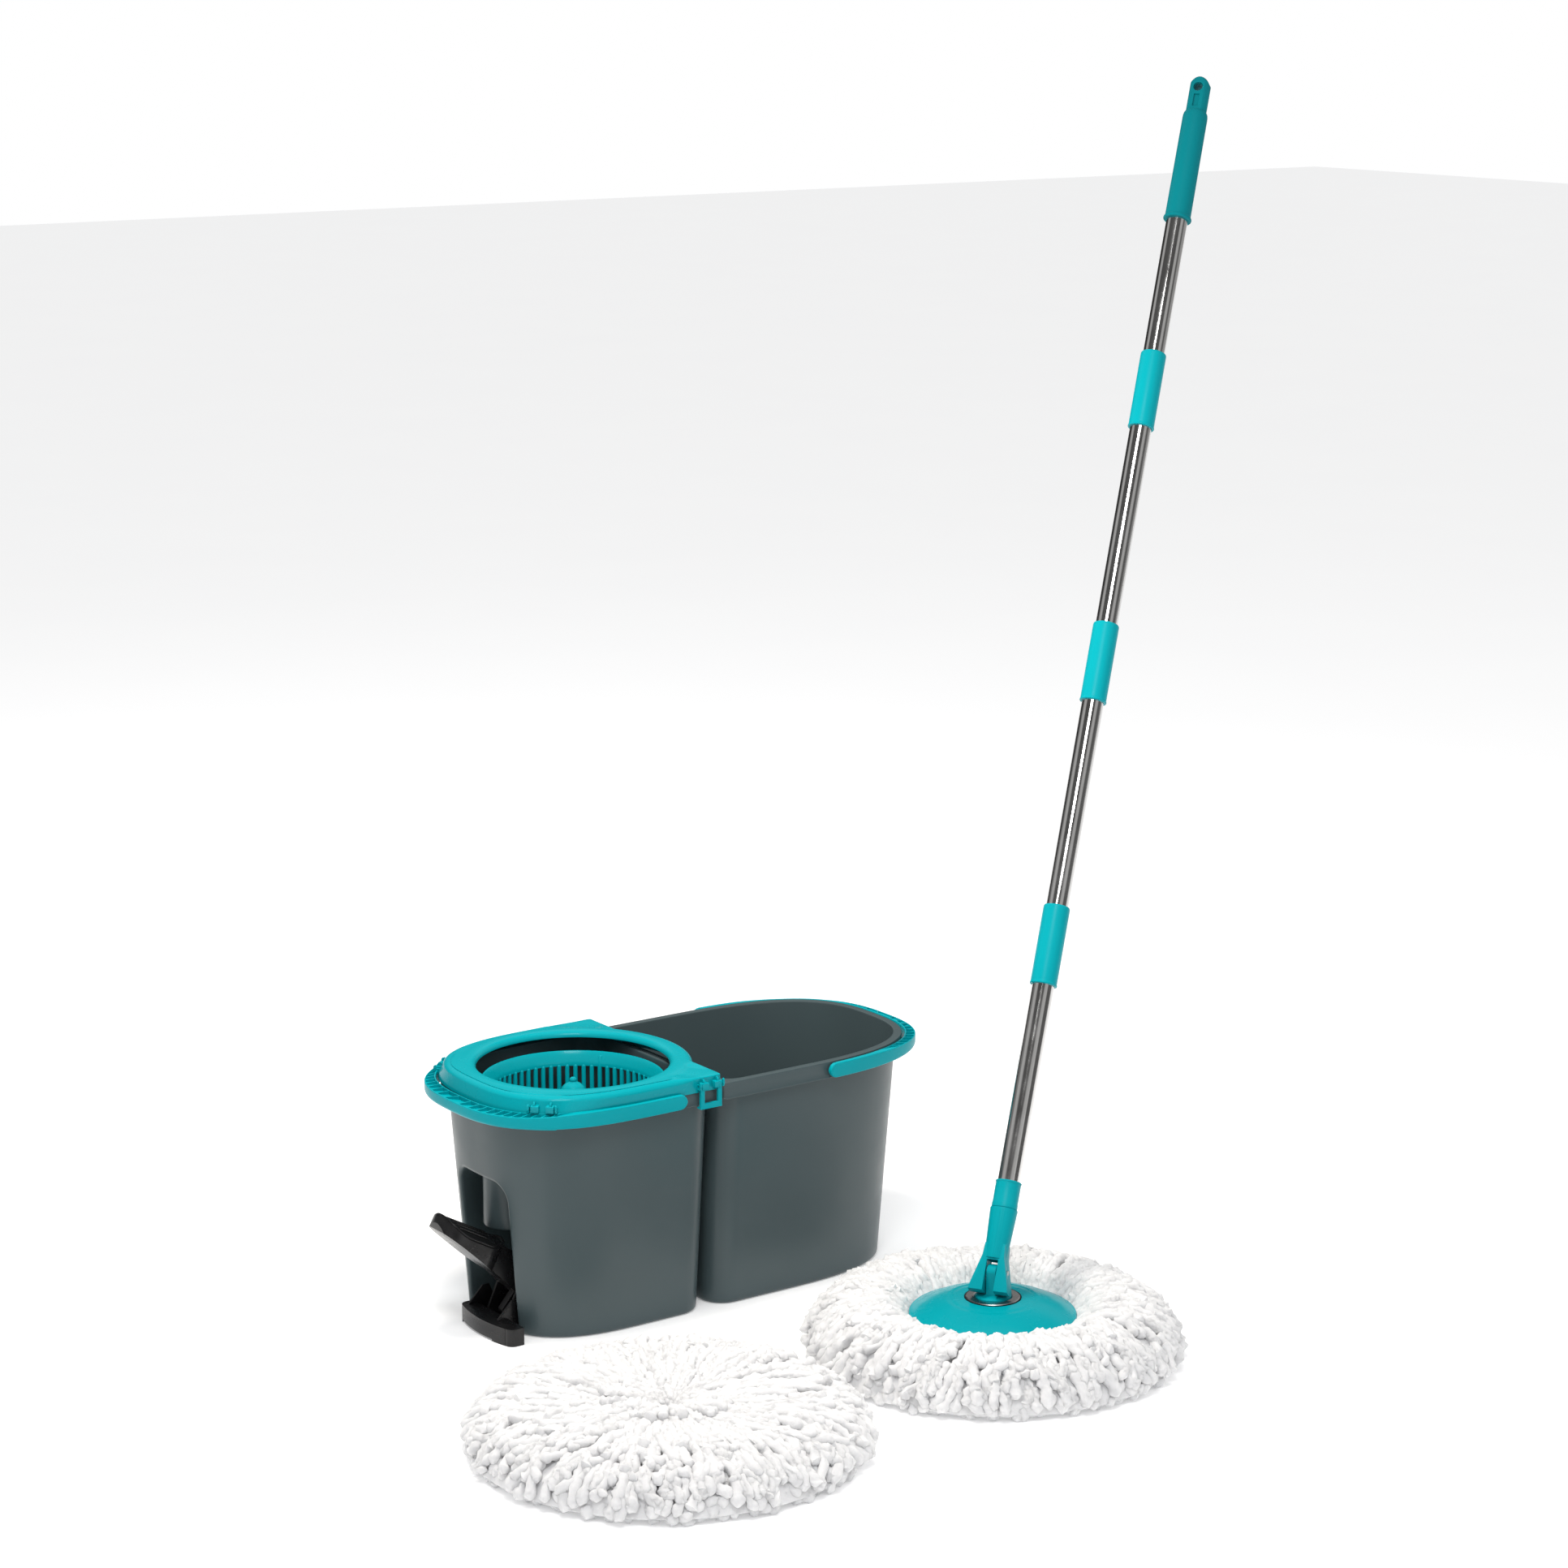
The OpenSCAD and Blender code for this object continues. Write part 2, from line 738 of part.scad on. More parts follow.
module clutch_gear() color(CREAM)
    translate([spindle_xy[0], spindle_xy[1], 0])
        difference() {
            union() {
                translate([0, 0, 11.2]) cylinder(r = 7, h = 1);
                translate([0, 0, gear_z[0]])
                    linear_extrude(gear_z[1] - gear_z[0])
                        gear2d(clutch_teeth, 180 / clutch_teeth);
                translate([0, 0, gear_z[1] - EPS]) cylinder(r = 9, h = 1);
                translate([0, 0, cup_z[0]]) cylinder(r = 19, h = cup_z[2] - cup_z[0]);
            }
            // Ring of saw teeth inside the cup
            translate([0, 0, cup_z[1]])
                linear_extrude(10)
                    polygon([for (i = [0:11]) for (p = [[14.5, 0], [16.6, 28]])
                        polar(p[0], 30 * i + p[1])]);
            cylinder(r = spindle_r + run, h = 40);
        }

module ratchet_hub() color(CREAM)
    translate([spindle_xy[0], spindle_xy[1], cup_z[1] + 0.5])
        difference() {
            cylinder(r = 8.5, h = 4.3);
            translate([0, 0, -1]) cylinder(r = spindle_r, h = 8);
        }

module ratchet_pawls() color(STEEL)
    for (i = [0:2])
        translate([spindle_xy[0], spindle_xy[1], cup_z[1] + 1])
            rotate([0, 0, 120 * i])
                linear_extrude(3.2)
                    polygon([[8.9, -1], [11, -2.4], [13, 1], [13.2, 4], [12.2, 4.4], [8.6, 2.2]]);

module spindle() color(STEEL)
    translate([spindle_xy[0], spindle_xy[1], 5.4])
        cylinder(r = spindle_r, h = 216 - 5.4);

module bush(z, r)
    translate([spindle_xy[0], spindle_xy[1], z[0]])
        difference() {
            cylinder(r = r, h = z[1] - z[0]);
            translate([0, 0, -1]) cylinder(r = spindle_r + run, h = 40);
        }

module base_bush() color(CREAM) bush([base_z[1], 10.8], 6.5);
module floor_bush() color(CREAM) bush([floor_z[0], 42], 6);
module top_bush() color(CREAM) bush([184, chimney_z], 6);
module shaft_seal() color(BLACK) bush([chimney_z, 202.6], 9);

// ---------------------------------------------------------------- basket

module spin_basket() color(TEAL)
    translate([spindle_xy[0], spindle_xy[1], 0])
        difference() {
            rotate_extrude()
                polygon([
                    [spindle_r, 204], [13.5, 204], [27.5, basket_z[0]],
                    [basket_r + 1.6, basket_z[0]], [basket_r + 2.2, 221],
                    [basket_lip_r - 1.5, 230], [basket_lip_r, basket_z[1] - 0.8],
                    [basket_lip_r - 0.6, basket_z[1]], [basket_lip_r - 2.4, basket_z[1] - 0.6],
                    [basket_r + 0.4, 222.5], [basket_r, 220], [basket_r - 0.6, basket_z[0] + 2.4],
                    [29.6, basket_z[0] + 2.4], [14.6, 216], [12, 219], [0, 219], [0, 216],
                    [spindle_r, 216]
                ]);
            for (i = [0:basket_slots - 1])
                rotate([0, 0, 360 * (i + 0.5) / basket_slots])
                    translate([basket_r - 4, -1.9, basket_z[0] + 10])
                        cube([10, 3.8, 45]);
            // Drain slots in the floor
            for (i = [0:11])
                rotate([0, 0, 30 * i + 15])
                    translate([38, -2, basket_z[0] - 1])
                        cube([34, 4, 5]);
        }

module basket_cap() color(TEAL)
    translate([spindle_xy[0], spindle_xy[1], 0])
        rotate_extrude()
            polygon(concat(
                [[0, 219], [12, 219], [10.6, 222.5], [7.2, 225.6], [4.4, 227], [3.4, 228]],
                [for (t = [0:15:90]) [3.6 * cos(t), 229 + 3.5 * sin(t)]]
            ));

// ---------------------------------------------------------------- mop head

module at_mop() translate([mop_xy[0], mop_xy[1], 0]) children();

module mop_fibre() color(WHITE)
    at_mop() rotate_extrude()
        polygon([
            [46, 0], [fringe_r - 10, 0], [fringe_r, 8], [fringe_r - 1, 24],
            [fringe_r - 12, 42], [fringe_r - 32, 56], [fringe_r - 60, 61], [fringe_r - 80, 57],
            [plate_r + 8, 46], [plate_r + 2.5, 36], [plate_r + 1.5, 23], [46, 23]
        ]);

module mop_ring() color(WHITE)
    at_mop() difference() {
        translate([0, 0, 23]) cylinder(r = 76, h = 9.6);
        translate([0, 0, 22]) cylinder(r = 48, h = 12);
        translate([0, 0, 25.4])
            difference() {
                cylinder(r = 73.6, h = 12);
                translate([0, 0, -1]) cylinder(r = 50.4, h = 14);
            }
    }

function dome_z(r) = 57 - 16 * pow(max(0, r - 26) / 54, 2);

module mop_plate() color(TEAL)
    at_mop() {
        rotate_extrude()
            polygon(concat(
                [[plate_r - 2.4, 33], [plate_r, 33], [plate_r, 39.6], [plate_r - 0.7, 41.4]],
                [for (r = [78:-6:48]) [r, dome_z(r) + 0.4]],
                [[42.6, 56.0], [41.8, 55.2], [40.2, 55.4], [39.4, 56.6]],
                [[33, 57.2], [27, 57.4], [27, 55.5], [8.06, 55.5], [8.06, 42], [12, 42],
                 [12, 53], [27, 53]],
                [for (r = [36:8:76]) [r, dome_z(r) - 2.4]],
                [[plate_r - 2.4, 38.6]]
            ));
        // Rib that rests on the refill's ring
        difference() {
            translate([0, 0, 33]) cylinder(r = 63, h = 15);
            translate([0, 0, 32]) cylinder(r = 61, h = 20);
        }
        for (i = [0:3])
            rotate([0, 0, 45 + 90 * i])
                translate([36, 0, 33])
                    difference() {
                        cylinder(r = 4, h = 21.4);
                        translate([0, 0, -1]) cylinder(r = 1.3, h = 16);
                    }
    }

module plate_underside() color(WHITE)
    at_mop() difference() {
        translate([0, 0, 31]) cylinder(r = 46, h = 2);
        for (i = [0:3])
            rotate([0, 0, 45 + 90 * i])
                translate([36, 0, 30]) cylinder(r = 1.6, h = 5);
    }

module plate_screws() color(STEEL)
    at_mop()
        for (i = [0:3])
            rotate([0, 0, 45 + 90 * i])
                translate([36, 0, 29.6]) {
                    cylinder(r = 3.4, h = 1.4);
                    cylinder(r = 1.3, h = 14);
                }

module bearing_seal() color(BLACK)
    at_mop() translate([0, 0, 55.5]) difference() {
        cylinder(r = 27, h = 2.0);
        translate([0, 0, -1]) cylinder(r = 26, h = 4);
    }

module bearing_ring() color(STEEL)
    at_mop() rotate_extrude()
        polygon([[18, 55.5], [26, 55.5], [26, 57.2], [25.2, 58], [19, 58], [18, 57.2]]);

// Frame whose z axis runs up the handle from the pivot, with the pin along y
module on_handle()
    translate([mop_xy[0], mop_xy[1], pivot_z])
        rotate([0, handle_lean[0], handle_lean[1]])
            children();

module swivel_base() color(TEAL)
    at_mop() rotate([0, 0, handle_lean[1]])
        difference() {
            union() {
                translate([0, 0, 41.2]) cylinder(r = 8, h = 16);
                translate([0, 0, 56]) cylinder(r = 17, h = 2.6);
                translate([0, 0, 58.6 - EPS]) cylinder(r1 = 17, r2 = 15, h = 1.6);
                translate([-7, -4.5, 58]) cube([14, 9, pivot_z - 58]);
                translate([0, 0, pivot_z])
                    rotate([90, 0, 0])
                        cylinder(r = 7, h = 9, center = true);
            }
            translate([0, 0, pivot_z])
                rotate([90, 0, 0])
                    cylinder(r = 2.5 + run, h = 20, center = true);
            translate([0, 0, 40]) cylinder(r = 1.9, h = 12);
        }

module swivel_washer() color(STEEL)
    at_mop() translate([0, 0, 39.2]) difference() {
        cylinder(r = 12, h = 2);
        translate([0, 0, -1]) cylinder(r = 2.2, h = 4);
    }

module swivel_screw() color(STEEL)
    at_mop() {
        translate([0, 0, 36.6]) cylinder(r = 4.5, h = 2.6);
        translate([0, 0, 38]) cylinder(r = 1.9, h = 13);
    }

// ---------------------------------------------------------------- handle

module sleeve(t, r, bore)
    translate([0, 0, t[0]])
        difference() {
            cylinder(r = r, h = t[1] - t[0]);
            translate([0, 0, -1]) cylinder(r = bore, h = t[1] - t[0] + 2);
        }

// Forked foot of the handle: two splayed legs either side of the knuckle
module fork_socket() color(TEAL)
    on_handle() difference() {
        union() {
            translate([0, 0, 12]) cylinder(r1 = 10.85, r2 = 13.3, h = 48.7);
            intersection() {
                translate([-8.5, 0, 0])
                    rotate([90, 0, 90])
                        linear_extrude(17)
                            polygon([[-20, -22], [20, -22], [18, -12], [10.8, 14], [10, 26],
                                     [-10, 26], [-10.8, 14], [-18, -12]]);
                union() {
                    rotate([90, 0, 0]) cylinder(r = 21.4, h = 60, center = true);
                    translate([-20, -30, 0]) cube([40, 60, 40]);
                }
            }
        }
        // Slot for the knuckle, rounded over its top
        translate([-30, -5.6, -30]) cube([60, 11.2, 33]);
        translate([0, 0, 3])
            rotate([90, 0, 0])
                cylinder(r = 11, h = 11.2, center = true);
        rotate([90, 0, 0]) cylinder(r = 2.5, h = 80, center = true);
        translate([0, 0, 38]) cylinder(r = tube_r, h = 40);
    }

module fork_pin() color(STEEL)
    on_handle()
        rotate([90, 0, 0]) cylinder(r = 2.5, h = 30, center = true);

module socket_collar() color(TEAL)
    on_handle() sleeve([60.7, 87.7], 12.35, tube_r);

tube_ends = [
    38,
    (connector_t[0][0] + connector_t[0][1]) / 2,
    (connector_t[1][0] + connector_t[1][1]) / 2,
    (connector_t[2][0] + connector_t[2][1]) / 2,
    grip_t[1] - 15
];

module tube(i) color(STEEL)
    on_handle() sleeve([tube_ends[i], tube_ends[i + 1]], tube_r, tube_r - 0.6);

module connector(i) color(TEAL)
    on_handle() difference() {
        union() {
            sleeve(connector_t[i], 13, tube_r);
            translate([0, 0, connector_t[i][0]]) sleeve([0, 2], 13.3, tube_r);
        }
    }

// Screwed plugs inside the tubes, one at each connector
module thread_plugs() color(CREAM)
    on_handle()
        for (i = [1:3])
            translate([0, 0, tube_ends[i] - 30])
                difference() {
                    cylinder(r = tube_r - 0.6, h = 60);
                    for (k = [0:7])
                        translate([0, 0, 8 + 2.4 * k])
                            difference() {
                                cylinder(r = tube_r, h = 1);
                                translate([0, 0, -1]) cylinder(r = tube_r - 1.6, h = 3);
                            }
                }

module grip() color(TEAL)
    on_handle()
        rotate_extrude()
            polygon([
                [tube_r, grip_t[0]], [14.5, grip_t[0]], [14.5, grip_t[0] + 2.6],
                [13.2, grip_t[0] + 4.6], [12.9, grip_t[1] - 5], [12.4, grip_t[1] - 1.6],
                [10.8, grip_t[1]], [5, grip_t[1]], [5, grip_t[1] - 15], [tube_r, grip_t[1] - 15]
            ]);

// Hanging end: flattened on two sides, with a hole and a recess below it
module hang_end() color(TEAL)
    on_handle() difference() {
        intersection() {
            union() {
                translate([0, 0, grip_t[1]]) cylinder(r = 10.75, h = 27.25);
                translate([0, 0, handle_end - 10.75]) rotate([0, 90, 0])
                    cylinder(r = 10.75, h = 30, center = true);
                translate([0, 0, grip_t[1] - 14]) cylinder(r = 5, h = 14.1);
            }
            translate([-8.5, -20, 1100]) cube([17, 40, 200]);
            union() {
                translate([0, 0, 1100]) cylinder(r = 10.75, h = handle_end - 1105);
                translate([0, 0, handle_end - 5]) cylinder(r1 = 10.75, r2 = 8, h = 5);
            }
        }
        translate([0, 0, handle_end - 11.5])
            rotate([0, 90, 0])
                cylinder(r = 5, h = 40, center = true);
        for (s = [-1, 1])
            translate([s * 8.5 - 2, -3, grip_t[1] + 4])
                cube([4, 6, 14]);
    }

// ---------------------------------------------------------------- spare refill

module at_spare() translate([spare_xy[0], spare_xy[1], 0]) children();

module spare_fibre() color(WHITE)
    at_spare() rotate_extrude()
        polygon([
            [10, 13], [47, 13], [47, 8], [77, 8], [77, 0], [spare_r - 10, 0], [spare_r, 8],
            [spare_r - 2, 24], [spare_r - 16, 36], [spare_r - 44, 43], [spare_r - 90, 45],
            [60, 41], [32, 34], [14, 28], [10, 22]
        ]);

module spare_ring() color(WHITE)
    at_spare() difference() {
        cylinder(r = 76, h = 8);
        translate([0, 0, -1]) cylinder(r = 48, h = 12);
        translate([0, 0, -1]) difference() {
            cylinder(r = 73.6, h = 6.6);
            translate([0, 0, -1]) cylinder(r = 50.4, h = 14);
        }
    }

rinse_bucket();
rinse_bail();
wringer_bucket();
wringer_bail();
wringer_cover();
front_latch();
back_latch();
end_latches();
drive_base();
base_screws();
pedal();
pedal_axle();
pedal_spring();
drive_rack();
idler_gear();
idler_axle();
idler_clip();
clutch_gear();
ratchet_hub();
ratchet_pawls();
spindle();
base_bush();
floor_bush();
top_bush();
shaft_seal();
spin_basket();
basket_cap();
mop_fibre();
mop_ring();
mop_plate();
plate_underside();
plate_screws();
bearing_seal();
bearing_ring();
swivel_base();
swivel_washer();
swivel_screw();
fork_socket();
fork_pin();
socket_collar();
tube(0);  // tube_1
tube(1);  // tube_2
tube(2);  // tube_3
tube(3);  // tube_4
connector(0);  // connector_1
connector(1);  // connector_2
connector(2);  // connector_3
thread_plugs();
grip();
hang_end();
spare_fibre();
spare_ring();
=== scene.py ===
import math
import random

import bmesh
import bpy
from mathutils import Matrix, Vector, noise


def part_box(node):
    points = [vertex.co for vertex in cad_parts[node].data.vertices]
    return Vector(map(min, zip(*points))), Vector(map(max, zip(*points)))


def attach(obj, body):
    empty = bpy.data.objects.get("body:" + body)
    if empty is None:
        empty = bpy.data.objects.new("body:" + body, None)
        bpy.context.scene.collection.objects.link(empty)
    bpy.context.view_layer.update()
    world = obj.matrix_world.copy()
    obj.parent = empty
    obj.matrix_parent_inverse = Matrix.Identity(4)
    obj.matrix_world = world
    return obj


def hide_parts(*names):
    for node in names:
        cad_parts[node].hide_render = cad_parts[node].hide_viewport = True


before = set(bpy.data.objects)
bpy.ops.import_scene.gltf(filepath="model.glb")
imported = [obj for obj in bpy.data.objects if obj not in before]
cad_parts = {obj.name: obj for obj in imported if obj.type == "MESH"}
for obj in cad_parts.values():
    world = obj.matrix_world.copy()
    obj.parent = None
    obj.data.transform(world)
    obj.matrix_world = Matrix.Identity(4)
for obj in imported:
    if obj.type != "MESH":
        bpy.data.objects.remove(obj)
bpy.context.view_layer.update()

MM = 0.001
SMOOTH_ANGLE = math.radians(32)


def box_mm(node):
    """A CAD node's lowest and highest corner in millimetres."""
    low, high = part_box(node)
    return low / MM, high / MM


# ------------------------------------------------------------------ camera

def make_camera():
    data = bpy.data.cameras.new("camera")
    data.lens = 86.87
    data.sensor_width = 36
    data.clip_start, data.clip_end = 0.05, 50
    camera = bpy.data.objects.new("camera", data)
    camera.location = (-2.0085, -3.0154, 1.3143)
    camera.rotation_euler = (math.radians(90 - 12.52), 0, math.radians(-35.35))
    bpy.context.scene.collection.objects.link(camera)
    bpy.context.scene.camera = camera


make_camera()


# --------------------------------------------------------------- materials

class Shader:
    """A material's node tree, built one named node at a time."""

    def __init__(self, name):
        self.material = bpy.data.materials.new(name)
        self.material.use_nodes = True
        self.tree = self.material.node_tree
        self.surface = self.tree.nodes["Principled BSDF"]
        self.coords = self.add("ShaderNodeTexCoord").outputs["Object"]

    def add(self, kind, **settings):
        made = self.tree.nodes.new(kind)
        for key, value in settings.items():
            setattr(made, key, value)
        return made

    def link(self, source, target):
        self.tree.links.new(source, target)

    def mapped(self, scale):
        mapping = self.add("ShaderNodeMapping")
        mapping.inputs["Scale"].default_value = scale
        self.link(self.coords, mapping.inputs["Vector"])
        return mapping.outputs["Vector"]

    def noise(self, scale, detail=2.0, rough=0.5, stretch=None):
        tex = self.add("ShaderNodeTexNoise")
        tex.inputs["Scale"].default_value = scale
        tex.inputs["Detail"].default_value = detail
        tex.inputs["Roughness"].default_value = rough
        self.link(self.mapped(stretch) if stretch else self.coords, tex.inputs["Vector"])
        return tex.outputs["Fac"]

    def spread(self, value, low_in, high_in, low_out, high_out):
        spread = self.add("ShaderNodeMapRange")
        for socket, number in zip(("From Min", "From Max", "To Min", "To Max"),
                                  (low_in, high_in, low_out, high_out)):
            spread.inputs[socket].default_value = number
        self.link(value, spread.inputs["Value"])
        return spread.outputs["Result"]

    def mix(self, factor, first, second):
        mix = self.add("ShaderNodeMix", data_type="RGBA")
        for socket, value in (("A", first), ("B", second)):
            slot = [s for s in mix.inputs if s.name == socket and s.type == "RGBA"][0]
            if isinstance(value, (tuple, list)):
                slot.default_value = (*value, 1)
            else:
                self.link(value, slot)
        self.link(factor, mix.inputs[0])
        return [s for s in mix.outputs if s.type == "RGBA"][0]

    def bump(self, layers):
        """Each layer is a height, its strength and its depth in metres."""
        normal = None
        for height, strength, depth in layers:
            bump = self.add("ShaderNodeBump")
            bump.inputs["Strength"].default_value = strength
            bump.inputs["Distance"].default_value = depth
            self.link(height, bump.inputs["Height"])
            if normal:
                self.link(normal, bump.inputs["Normal"])
            normal = bump.outputs["Normal"]
        self.link(normal, self.surface.inputs["Normal"])


def tinted(colour, factor):
    """A colour made lighter or darker."""
    return tuple(min(1.0, c * factor) for c in colour)


def moulded_plastic(name, colour, rough, grain=0.25, flow=0.12, scuffs=0.0, coat=0.0, shine=0.3):
    """Injection-moulded plastic: fine grain, faint flow waves, slight tint and gloss variation."""
    s = Shader(name)
    tone = s.noise(9, 3)
    colour_out = s.mix(s.spread(tone, 0.3, 0.7, 0, 1), tinted(colour, 0.97), tinted(colour, 1.03))
    if scuffs:
        lines = s.noise(46, 2, 0.6, stretch=(1, 1, 0.22))
        patch = s.noise(7, 2)
        both = s.add("ShaderNodeMath", operation="MULTIPLY")
        s.link(s.spread(lines, 0.70, 0.76, 0, 1), both.inputs[0])
        s.link(s.spread(patch, 0.55, 0.68, 0, scuffs), both.inputs[1])
        colour_out = s.mix(both.outputs[0], colour_out, tinted(colour, 3.2))
    s.link(colour_out, s.surface.inputs["Base Color"])
    gloss = s.noise(34, 4, 0.6)
    s.link(s.spread(gloss, 0.25, 0.75, rough - 0.05, rough + 0.06), s.surface.inputs["Roughness"])
    s.bump([(s.noise(26, 1), flow, 0.0006), (s.noise(1400, 1), grain, 0.00006)])
    s.surface.inputs["Specular IOR Level"].default_value = shine
    s.surface.inputs["Coat Weight"].default_value = coat
    s.surface.inputs["Coat Roughness"].default_value = 0.07
    return s.material


def tube_chrome(name):
    """Polished stainless tube with faint draw lines along it and small smudges."""
    s = Shader(name)
    smudge = s.noise(30, 4, 0.65)
    colour = s.mix(s.spread(smudge, 0.35, 0.7, 0, 1), (0.70, 0.69, 0.675), (0.76, 0.75, 0.74))
    s.link(colour, s.surface.inputs["Base Color"])
    s.surface.inputs["Metallic"].default_value = 1.0
    s.link(s.spread(smudge, 0.3, 0.75, 0.07, 0.16), s.surface.inputs["Roughness"])
    s.bump([(s.noise(500, 2), 0.06, 0.00003)])
    return s.material


def satin_steel(name):
    """Brushed steel for axles, screws, springs and rings."""
    rough = 0.28
    s = Shader(name)
    brushed = s.noise(60, 3, 0.6, stretch=(1, 1, 14))
    s.link(s.mix(brushed, (0.52, 0.51, 0.50), (0.70, 0.69, 0.68)), s.surface.inputs["Base Color"])
    s.surface.inputs["Metallic"].default_value = 1.0
    s.link(s.spread(brushed, 0.3, 0.7, rough - 0.06, rough + 0.08), s.surface.inputs["Roughness"])
    s.bump([(brushed, 0.15, 0.00004)])
    return s.material


def soft_rubber(name):
    """Dull black rubber with a little dust on it."""
    s = Shader(name)
    dust = s.noise(120, 3)
    s.link(s.mix(dust, (0.012, 0.012, 0.013), (0.03, 0.03, 0.031)), s.surface.inputs["Base Color"])
    s.link(s.spread(dust, 0.3, 0.7, 0.6, 0.8), s.surface.inputs["Roughness"])
    s.bump([(s.noise(900, 2), 0.3, 0.00008)])
    return s.material


def microfibre(name):
    """White chenille: fine fuzz over soft lumps, with a sheen."""
    s = Shader(name)
    shade = s.noise(70, 4, 0.6)
    s.link(s.mix(s.spread(shade, 0.3, 0.7, 0, 1), (0.67, 0.67, 0.68), (0.78, 0.78, 0.785)),
           s.surface.inputs["Base Color"])
    fuzz = s.noise(900, 6, 0.75)
    s.link(s.spread(fuzz, 0.3, 0.7, 0.85, 1.0), s.surface.inputs["Roughness"])
    s.bump([(s.noise(260, 3, 0.6), 0.5, 0.0012), (fuzz, 0.7, 0.0006)])
    s.surface.inputs["Sheen Weight"].default_value = 0.25
    s.surface.inputs["Sheen Roughness"].default_value = 0.6
    s.surface.inputs["Specular IOR Level"].default_value = 0.1
    s.surface.inputs["Subsurface Weight"].default_value = 0.3
    s.surface.inputs["Subsurface Radius"].default_value = (1, 1, 1)
    s.surface.inputs["Subsurface Scale"].default_value = 0.006
    return s.material


TEAL = (0.0, 0.285, 0.33)
LOOKS = {
    "teal_gloss": moulded_plastic("teal_gloss", TEAL, 0.26, grain=0.08, flow=0.05, coat=0.1,
                                  shine=0.1),
    "teal_satin": moulded_plastic("teal_satin", tinted(TEAL, 1.06), 0.33, grain=0.2, shine=0.1),
    "teal_matt": moulded_plastic("teal_matt", tinted(TEAL, 0.62), 0.55, grain=0.6, shine=0.08),
    "grey": moulded_plastic("grey", (0.054, 0.077, 0.083), 0.34, grain=0.3, scuffs=0.6, shine=0.32),
    "black": moulded_plastic("black", (0.007, 0.007, 0.0075), 0.27, grain=0.45, shine=0.35),
    "white": moulded_plastic("white", (0.80, 0.80, 0.78), 0.4),
    "nylon": moulded_plastic("nylon", (0.72, 0.70, 0.62), 0.42),
    "chrome": tube_chrome("chrome"),
    "steel": satin_steel("steel"),
    "rubber": soft_rubber("rubber"),
    "fibre": microfibre("fibre"),
}


# ------------------------------------------------------------ mesh helpers

def add_piece(name, verts, faces, look, body, replaced=(), angle=SMOOTH_ANGLE):
    """Makes an object from vertices in millimetres and hands it to the frame."""
    mesh = bpy.data.meshes.new(name)
    mesh.from_pydata([Vector(v) * MM for v in verts], [], faces)
    return add_mesh(name, mesh, look, body, replaced, angle)


def add_mesh(name, mesh, look, body, replaced=(), angle=SMOOTH_ANGLE):
    """Shades a mesh in metres, gives it its material and hands it to the frame."""
    mesh.validate()
    bm = bmesh.new()
    bm.from_mesh(mesh)
    bmesh.ops.recalc_face_normals(bm, faces=bm.faces)
    bm.to_mesh(mesh)
    bm.free()
    mesh.shade_smooth()
    mesh.set_sharp_from_angle(angle=angle)
    mesh.materials.clear()
    mesh.materials.append(LOOKS[look])
    piece = bpy.data.objects.new(name, mesh)
    bpy.context.scene.collection.objects.link(piece)
    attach(piece, body)
    if replaced:
        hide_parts(*replaced)
    return piece


class Build:
    """Vertices and faces gathered from several parts of one piece."""

    def __init__(self):
        self.verts, self.faces = [], []

    def add(self, verts, faces, place=None):
        start = len(self.verts)
        self.verts += [place @ Vector(v) if place else Vector(v) for v in verts]
        self.faces += [tuple(i + start for i in f) for f in faces]
        return self


def loft(rings, closed=False):
    """Joins rings of equal length. closed joins last to first; otherwise ends are capped."""
    n, verts, faces = len(rings[0]), [p for ring in rings for p in ring], []
    for k in range(len(rings) if closed else len(rings) - 1):
        a, b = k * n, (k + 1) % len(rings) * n
        faces += [(a + i, a + (i + 1) % n, b + (i + 1) % n, b + i) for i in range(n)]
    if not closed:
        faces.append(tuple(range(n))[::-1])
        faces.append(tuple(range((len(rings) - 1) * n, len(rings) * n)))
    return verts, faces


def lathe(profile, steps=96, closed=False):
    """Turns a profile of (radius, height) round the z axis."""
    rings = [[(r * math.cos(2 * math.pi * i / steps), r * math.sin(2 * math.pi * i / steps), z)
              for i in range(steps)] for r, z in profile]
    return loft(rings, closed=closed)


def turned(name, profile, place, look, body, replaced=(), steps=96, closed=False):
    """A lathed piece in its place."""
    part = Build().add(*lathe(profile, steps, closed), place)
    return add_piece(name, part.verts, part.faces, look, body, replaced)


def arc(cx, cy, r, start, end, steps=6):
    """Points of a circle from one angle to another, in degrees."""
    return [(cx + r * math.cos(math.radians(start + (end - start) * i / steps)),
             cy + r * math.sin(math.radians(start + (end - start) * i / steps)))
            for i in range(steps + 1)]


def rounded(points, radius, steps=4):
    """A closed outline with its corners rounded. radius is one number or one per corner."""
    out, n = [], len(points)
    for i, p in enumerate(points):
        r = radius[i] if isinstance(radius, (list, tuple)) else radius
        p, a, b = Vector(p), Vector(points[i - 1]), Vector(points[(i + 1) % n])
        da, db = (a - p).normalized(), (b - p).normalized()
        reach = min(r, (a - p).length * 0.49, (b - p).length * 0.49)
        if reach < 1e-6:
            out.append(tuple(p))
            continue
        for k in range(steps + 1):
            t = k / steps
            first, last = p + da * reach, p + db * reach
            out.append(tuple(first * (1 - t) ** 2 + p * 2 * t * (1 - t) + last * t ** 2))
    return out


SHARP_EDGE = math.radians(28)


